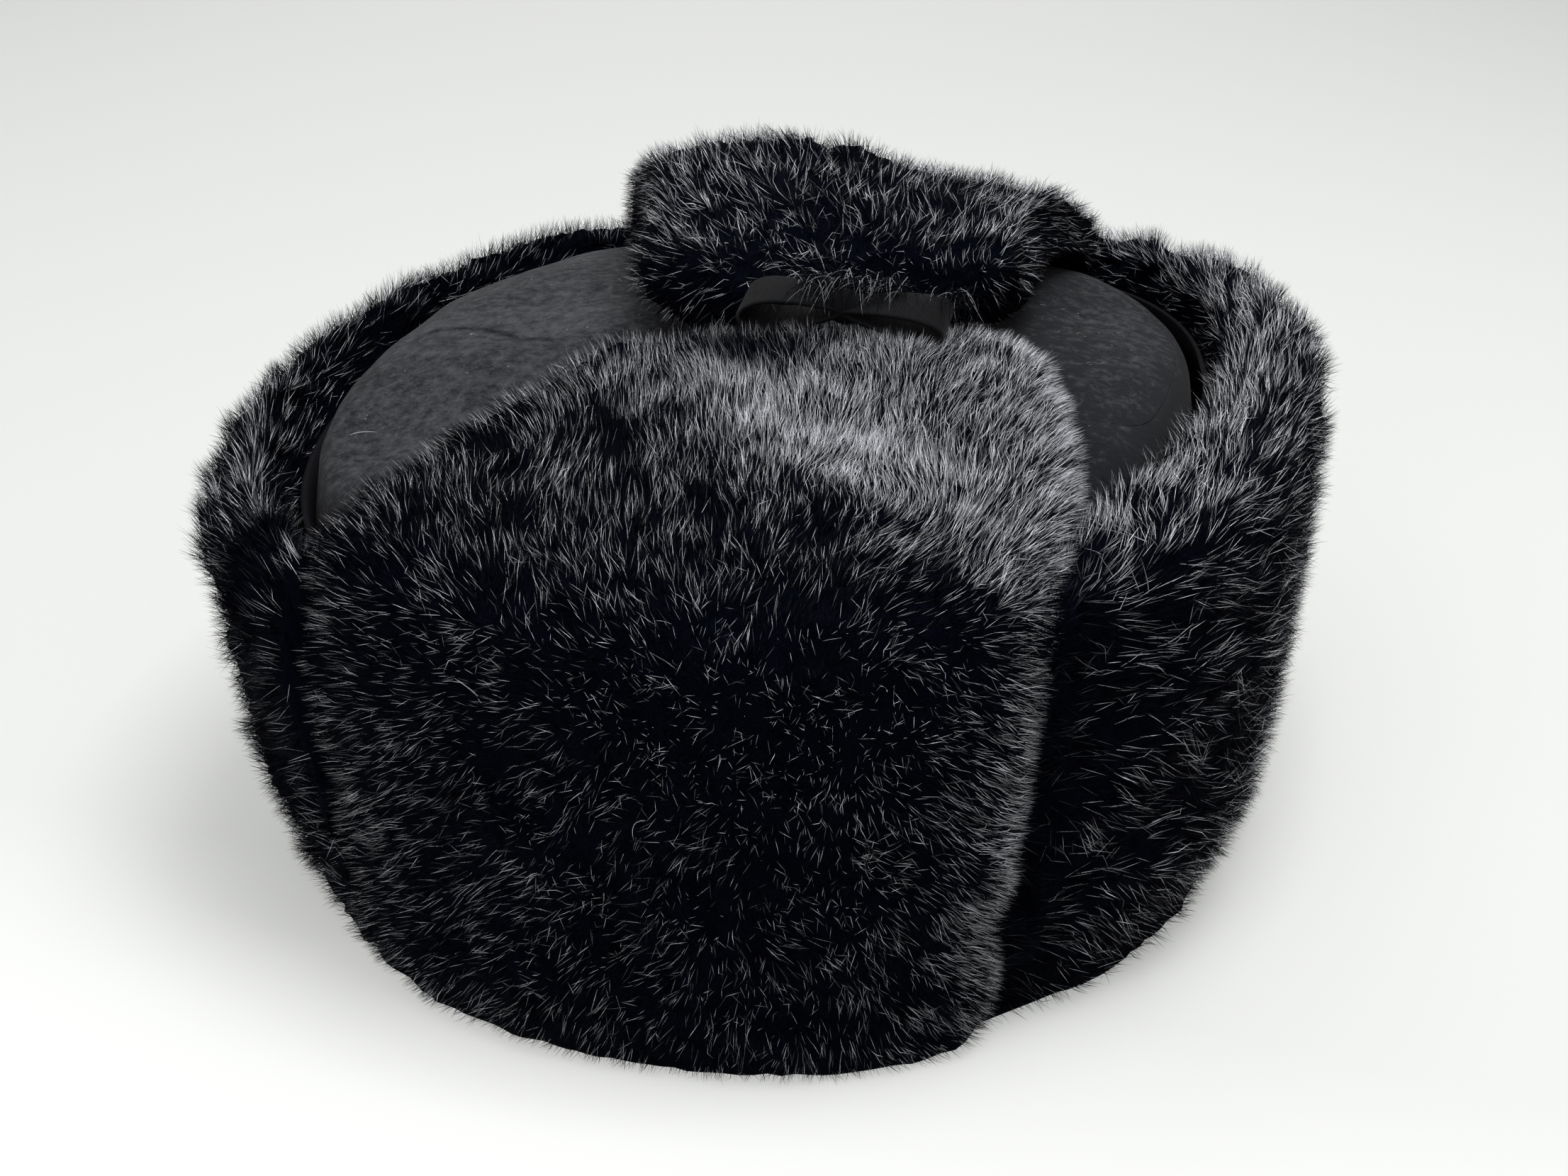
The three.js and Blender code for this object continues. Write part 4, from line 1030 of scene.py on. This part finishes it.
# %% Ear and neck flaps
wall_marks = {
    "left": [mark(-100, -72, 5, 30, lift=2.5)],
    "right": [
        mark(118, 20, 100, 34, lift=-2.6),
        mark(52, 118, 106, 24, lift=-3.5),
        mark(100, -69, 8, 34, lift=6),
        mark(116, -30, 30, 30, lift=3),
    ],
}
for side, word in ((-1, "left"), (1, "right")):
    grid, fur, angle = wall_form(side)
    node = f"ear_flap_{word}"
    tangent = side * vec(-np.sin(angle), np.cos(angle), 0 * angle)
    grid, push, normal = tufted(grid, fur, wall_marks[word], size=30, amount=1.0, seed=8)
    share = np.linspace(0, 1, len(grid))[:, None]
    along_wall = 0.25 + 0.6 * np.exp(-share / 0.12)
    upward_push = 0.1 + 0.5 * np.clip(grid[..., 2] / 80 - 0.2, -0.4, 1)
    flow = push + along_wall[..., None] * tangent + upward_push[..., None] * np.array([0, 0, 1])
    covering.append(grid)
    padding(node + "_pad", grid, normal, fur, node)
    # Painted shade in the gap beside the front flap, where each wall starts. The painted gleam is full on the
    # right wall and weaker on the left one, which lies in the shade.
    painted_shade = 0.9 * hill(share, 0.04, 0.022) + 0 * fur
    grow(node + "_pile", grid, normal, fur, flow, 182_000, painted_shade, 1.0 if side > 0 else 0.4, seed=20 + side,
         width=0.2, bent=0.2, length=6.8, clump=4.2, node=node, weight=1.3 - 0.5 * share + 0 * fur)

# %% [markdown]
# ## Tongues
# The ends of the ear flaps cross the crown and meet over its middle as two plump lobes. Their pile radiates
# from the middle of each lobe. Its painted gleam is weaker in the valley between them and in a patch on the
# right lobe, and painted shade darkens it round the bow.

# %% Tongues of the ear flaps
BOW = np.array([21, -26, 129.6])
lobe_marks = {
    "left": [
        mark(-22, -5, 139, 9, lift=-3.0),
        mark(-28, -12, 124, 17, lift=11.0, spray=0.6),
        mark(-38, 6, 127, 15, lift=6.0, spray=0.4),
        mark(-40, 36, 141, 15, lift=3.5, spray=0.5),
        mark(-52, 53, 136, 13, lift=3.0),
        mark(-8, 52, 140, 13, lift=3.0),
        mark(7, 1, 137, 14, lift=-4.5, turn=1.4),
        mark(0, -22, 128, 9, lift=-2.5),
    ],
    "right": [
        mark(25, 18, 139, 11, lift=-1.8, turn=1.2),
        mark(50, -4, 126, 17, lift=5.5, spray=0.7),
        mark(6, 4, 137, 13, lift=-4.0),
        mark(22, -10, 128, 9, lift=-1.5),
        mark(52, 40, 134, 18, lift=-5.0),
        mark(50, 88, 118, 20, lift=-4.0),
        mark(-6, 53, 137, 14, lift=6.5),
    ],
}
for rows_table, word, centre in ((tongue_left, "left", (4, 8, 131)), (tongue_right, "right", (16, 16, 129))):
    grid, fur = tongue_form(rows_table)
    node = f"ear_flap_{word}"
    grid, push, normal = tufted(grid, fur, lobe_marks[word], size=20, amount=0.9, seed=9)
    spread_out = unit(grid - np.array(centre)) * np.array([1, 1, 0.4])
    flow = push + 0.75 * spread_out - np.array([0, 0, 0.15])
    covering.append(grid)
    padding(f"tongue_{word}_pad", grid, normal, fur, node)
    x, y = grid[..., 0], grid[..., 1]
    # Painted gleam, weaker in the valley and in a patch on the right lobe; painted shade round the bow.
    valley = hill(x + 0.45 * y, 10, 9)
    painted_gleam = 0.8 - 0.5 * valley - 0.45 * np.exp(-(((x - 20) / 22) ** 2) - ((y - 36) / 22) ** 2)
    painted_shade = 0.92 * np.exp(-((grid - BOW - np.array([-4, 5, 2])) ** 2).sum(-1) / 11**2)
    grow(f"tongue_{word}_pile", grid, normal, fur, flow, 66_000, painted_shade, painted_gleam, seed=30 + len(word), width=0.19,
         bent=0.35, swirl=0.55, gather=0.45, node=node)

# %% [markdown]
# ## The crown under them
# The cloth is made last, because it carries painted shade where fur lies on it. Each of its points measures
# how far the nearest fur is, on a thinned list of the fur's own points.

# %% The crown under them
covers = np.concatenate([form[::3, ::3].reshape(-1, 3) for form in covering])
crown_shell("cloth_band", band_rows, "crown_band")
crown_shell("cloth_top", top_rows, "crown_top", middle=True)

# %% [markdown]
# ## Facings and ribbon
# The inner side of the flaps is faced with a dark lining, made near black as painted shade for the deep gap
# behind the flaps. The ribbon is a thin ribbed strap tied in a small bow between the lobes: two loops along
# closed paths, and a knot.


# %% Facings
def facing(side, word):
    """A strip of cloth against the inner side of a flap, up to where the pile rolls over."""
    share, up = np.linspace(0.03, 1, 90)[:, None], ROLL_START * np.linspace(0.2, 1, 9)
    at = wall_point(flap_angle(side, up, share), 0.0, up)
    distance = np.linalg.norm(at[..., :2], axis=-1)
    sheets = []
    for depth in (0.9, 2.1):
        moved = at.copy()
        moved[..., :2] *= (1 - depth / distance)[..., None]
        moved[-1, :, 0] += side * 0.3
        sheets.append(moved)
    grid = np.concatenate([sheets[0], sheets[1][:, ::-1]], axis=1)
    points, faces = shut_tube(grid)
    new = piece(f"cloth_facing_{word}", points, faces, shaded_lining)
    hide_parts(f"ear_facing_{word}")


facing(-1, "left")
facing(1, "right")


# %% Ribbon bow
def strap(path, side, width, thickness):
    """A flat strap: at each point of its path a thin rounded rectangle, wide along side."""
    forward = unit(np.gradient(path, axis=0))
    side = np.broadcast_to(side, path.shape)
    normal = unit(np.cross(forward, side))
    a = np.array([1, 1, 0.9, -0.9, -1, -1, -0.9, 0.9])[None, :, None] / 2
    b = np.array([-0.6, 0.6, 1, 1, 0.6, -0.6, -1, -1])[None, :, None] / 2
    return path[:, None] + a * side[:, None] * width[:, None, None] + b * normal[:, None] * thickness


RIBBON_WIDTH, RIBBON_THICKNESS, LOOP_POINTS, EDGE_POINTS = 10.5, 1.1, 49, 8
bow_turn = np.radians(1)
bow_points, bow_faces, bow_uv, count = [], [], [], 0
for turn, length, opening, drop in ((176, 23, 9, -3), (-6, 23.5, 6, 1)):
    around = np.linspace(0.001, 2 * np.pi - 0.001, LOOP_POINTS)
    out = 0.5 * length * (1 - np.cos(around))
    swell = 0.5 * opening * np.sin(around) * (0.35 + 0.65 * out / length)
    tilt = np.radians(turn)
    path = vec(out * np.cos(tilt) - swell * np.sin(tilt), 0 * out,
               out * np.sin(tilt) + swell * np.cos(tilt) + drop * out / length)
    width = RIBBON_WIDTH * (0.55 + 0.45 * out / length)
    points, faces = shut_tube(strap(path, np.array([0.0, 0.94, 0.34]), width, RIBBON_THICKNESS))
    bow_points.append(points)
    bow_faces += [f + count for f in faces]
    run = np.repeat(np.linspace(0, 1.6, LOOP_POINTS), EDGE_POINTS)
    over = np.tile(np.linspace(0, 1, EDGE_POINTS), LOOP_POINTS)
    bow_uv.append(np.concatenate([vec(run, over), [[0, 0], [1.6, 0]]]))
    count += len(points)
turn, tilt = np.meshgrid(np.linspace(0, np.pi, 15), np.linspace(0, 2 * np.pi, 25)[:-1], indexing="ij")
knot = vec(4.5 * np.cos(turn), 3.0 * np.sin(turn) * np.cos(tilt) * (1 + 0.08 * np.cos(3 * tilt)),
           4.0 * np.sin(turn) * np.sin(tilt) * (1 + 0.1 * np.sin(2 * turn)))
points, faces = shut_tube(knot[1:-1])
bow_points.append(points)
bow_faces += [f + count for f in faces]
bow_uv.append(points[:, :2] * 0.04)
points = np.concatenate(bow_points)
turned = vec(points[:, 0] * np.cos(bow_turn) - points[:, 1] * np.sin(bow_turn),
             points[:, 0] * np.sin(bow_turn) + points[:, 1] * np.cos(bow_turn), points[:, 2]) + BOW
bow = piece("ribbon_bow", turned, bow_faces, ribbed, uv=np.concatenate(bow_uv))
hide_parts("tie_bow")

# %% [markdown]
# ## Hairs and lint
# Some pile falls forward over the bow, a few long hairs curl up at the right wall, and single ones
# stray. They are tubes that bend step by step. The cloth carries a few specks of lint.

# %% Single hairs
loose = np.random.default_rng(77)


def around(places, spread, count):
    """Roots scattered round each of some places."""
    places = np.array(places, float)
    pick = loose.integers(0, len(places), count)
    return places[pick] + loose.normal(size=(count, 3)) * np.array(spread)


def strewn(direction, amount, count):
    """Directions that scatter round one by that amount."""
    return np.array(direction) + amount * loose.normal(size=(count, 3))


roots = around([(14, -24, 134.5), (19, -23, 134.5), (24, -22, 134.5), (30, -20, 134), (44, -18, 132)],
               (2.6, 2, 1), 420)
hairs("fur_over_bow", roots, strewn([0.1, -0.9, 0.1], 0.45, 420), strewn([0.0, -0.2, -1.6], 0.5, 420),
      loose.uniform(6, 11, 420), 0.24, np.where(loose.random(420) < 0.14, 0.5, 0.04))
roots = around([(84, -63, 98), (88, -66, 102), (93, -69, 104), (94, -54, 104), (97, -44, 105), (99, -30, 104),
                (89, -80, 100), (96, -76, 100)], (3, 4, 1), 60)
hairs("curved_hairs_right", roots, strewn([-0.1, -0.2, 0.8], 0.5, 60), strewn([-1.0, -0.2, -0.3], 0.9, 60),
      loose.uniform(6, 10, 60), 0.22, loose.uniform(0.3, 0.65, 60))
strays = table("root lean bend length shade", [
    ((13.1, -73, 114.5), (0.9, 0.2, 0.5), (0.6, -0.5, 1.5), 13, 0.85),
    ((-84, -62, 101), (0.8, 0.1, 0.5), (0.4, 0.8, -0.9), 7, 0.8),
    ((-20, -128, 80), (0.5, -0.6, 0.5), (-1.5, 0, 0.6), 9, 0.7),
    ((15, -130, 60), (-0.5, -0.7, 0.5), (1.2, 0, -1.0), 8, 0.7),
    ((55, -110, 85), (0.6, -0.6, 0.2), (-0.8, 0.2, 1.6), 8, 0.75),
])
roots, leans, bends, lengths, shades = (np.array([row[c] for row in strays], float) for c in strays[0])
hairs("stray_hairs", roots, leans, bends, lengths, 0.3, shades)

# %% Lint on the crown
specks = loose.uniform([-95, -60], [85, 60], (170, 2))
angle, reach = on_dome(specks[:, 0], specks[:, 1])
angle, reach = angle[reach < 0.9], reach[reach < 0.9]
ground = crown_dome_point(angle, reach) + np.array([0, 0, 0.12])
lean = loose.normal(size=ground.shape) * np.array([1, 1, 0.08])
length, width = loose.uniform(0.4, 1.6, len(ground)), 0.12 + 0 * reach
points, faces, *_ = spikes(ground, unit(lean), None, length, width, width)
flecks = piece("lint_flecks", points, [faces], lint)

# %% [markdown]
# ## Floor
# A pale sweep that runs level under the hat and rises behind it. It glows with painted light of its own:
# brighter just in front of the hat, and darker far behind it, most of all off to the sides.

# %% Sweep
FLOOR_FRONT, BEND_START, BEND_RADIUS, WALL_HEIGHT = -3, 1.6, 0.9, 3.5
bend = np.linspace(0, np.pi / 2, 14)[1:]
y = np.concatenate([np.linspace(FLOOR_FRONT, BEND_START, 6), BEND_START + BEND_RADIUS * np.sin(bend),
                    [BEND_START + BEND_RADIUS]])
z = np.concatenate([np.zeros(6), BEND_RADIUS * (1 - np.cos(bend)), [WALL_HEIGHT]])
grid = vec(np.linspace(-4, 4, 3)[None], y[:, None], z[:, None]).reshape(-1, 3) * 1000 - SHIFT
paper, shader, new = finish("pale_paper", Base_Color=(0.44, 0.443, 0.434, 1), Roughness=0.9,
                            Emission_Strength=1.0)
_, across, back = place_on_piece(new)
# Painted light: the paper glows, brighter just in front of the hat and darker far behind it.
near = (back * -10.0 - 0.9).math("MAXIMUM", 0.0).math("MINIMUM", 1.0)
beside = across + 0.5
far = ((back * 0.55 - 0.1).math("MAXIMUM", 0.0) * (beside * beside * 3.6 + 0.1)).math("MINIMUM", 1.0)
painted_floor_glow = near.mix((0.33, 0.334, 0.322), (0.50, 0.503, 0.488))
feed(shader, far.mix(painted_floor_glow, (0.20, 0.203, 0.195)), "Emission Color")
floor = piece("sweep", grid, [quads(len(y), 3, loop_columns=False)[:, ::-1]], paper, body=None)

# %% Sizes and finish
print("triangles in all", sum(tally))
bpy.context.view_layer.update()
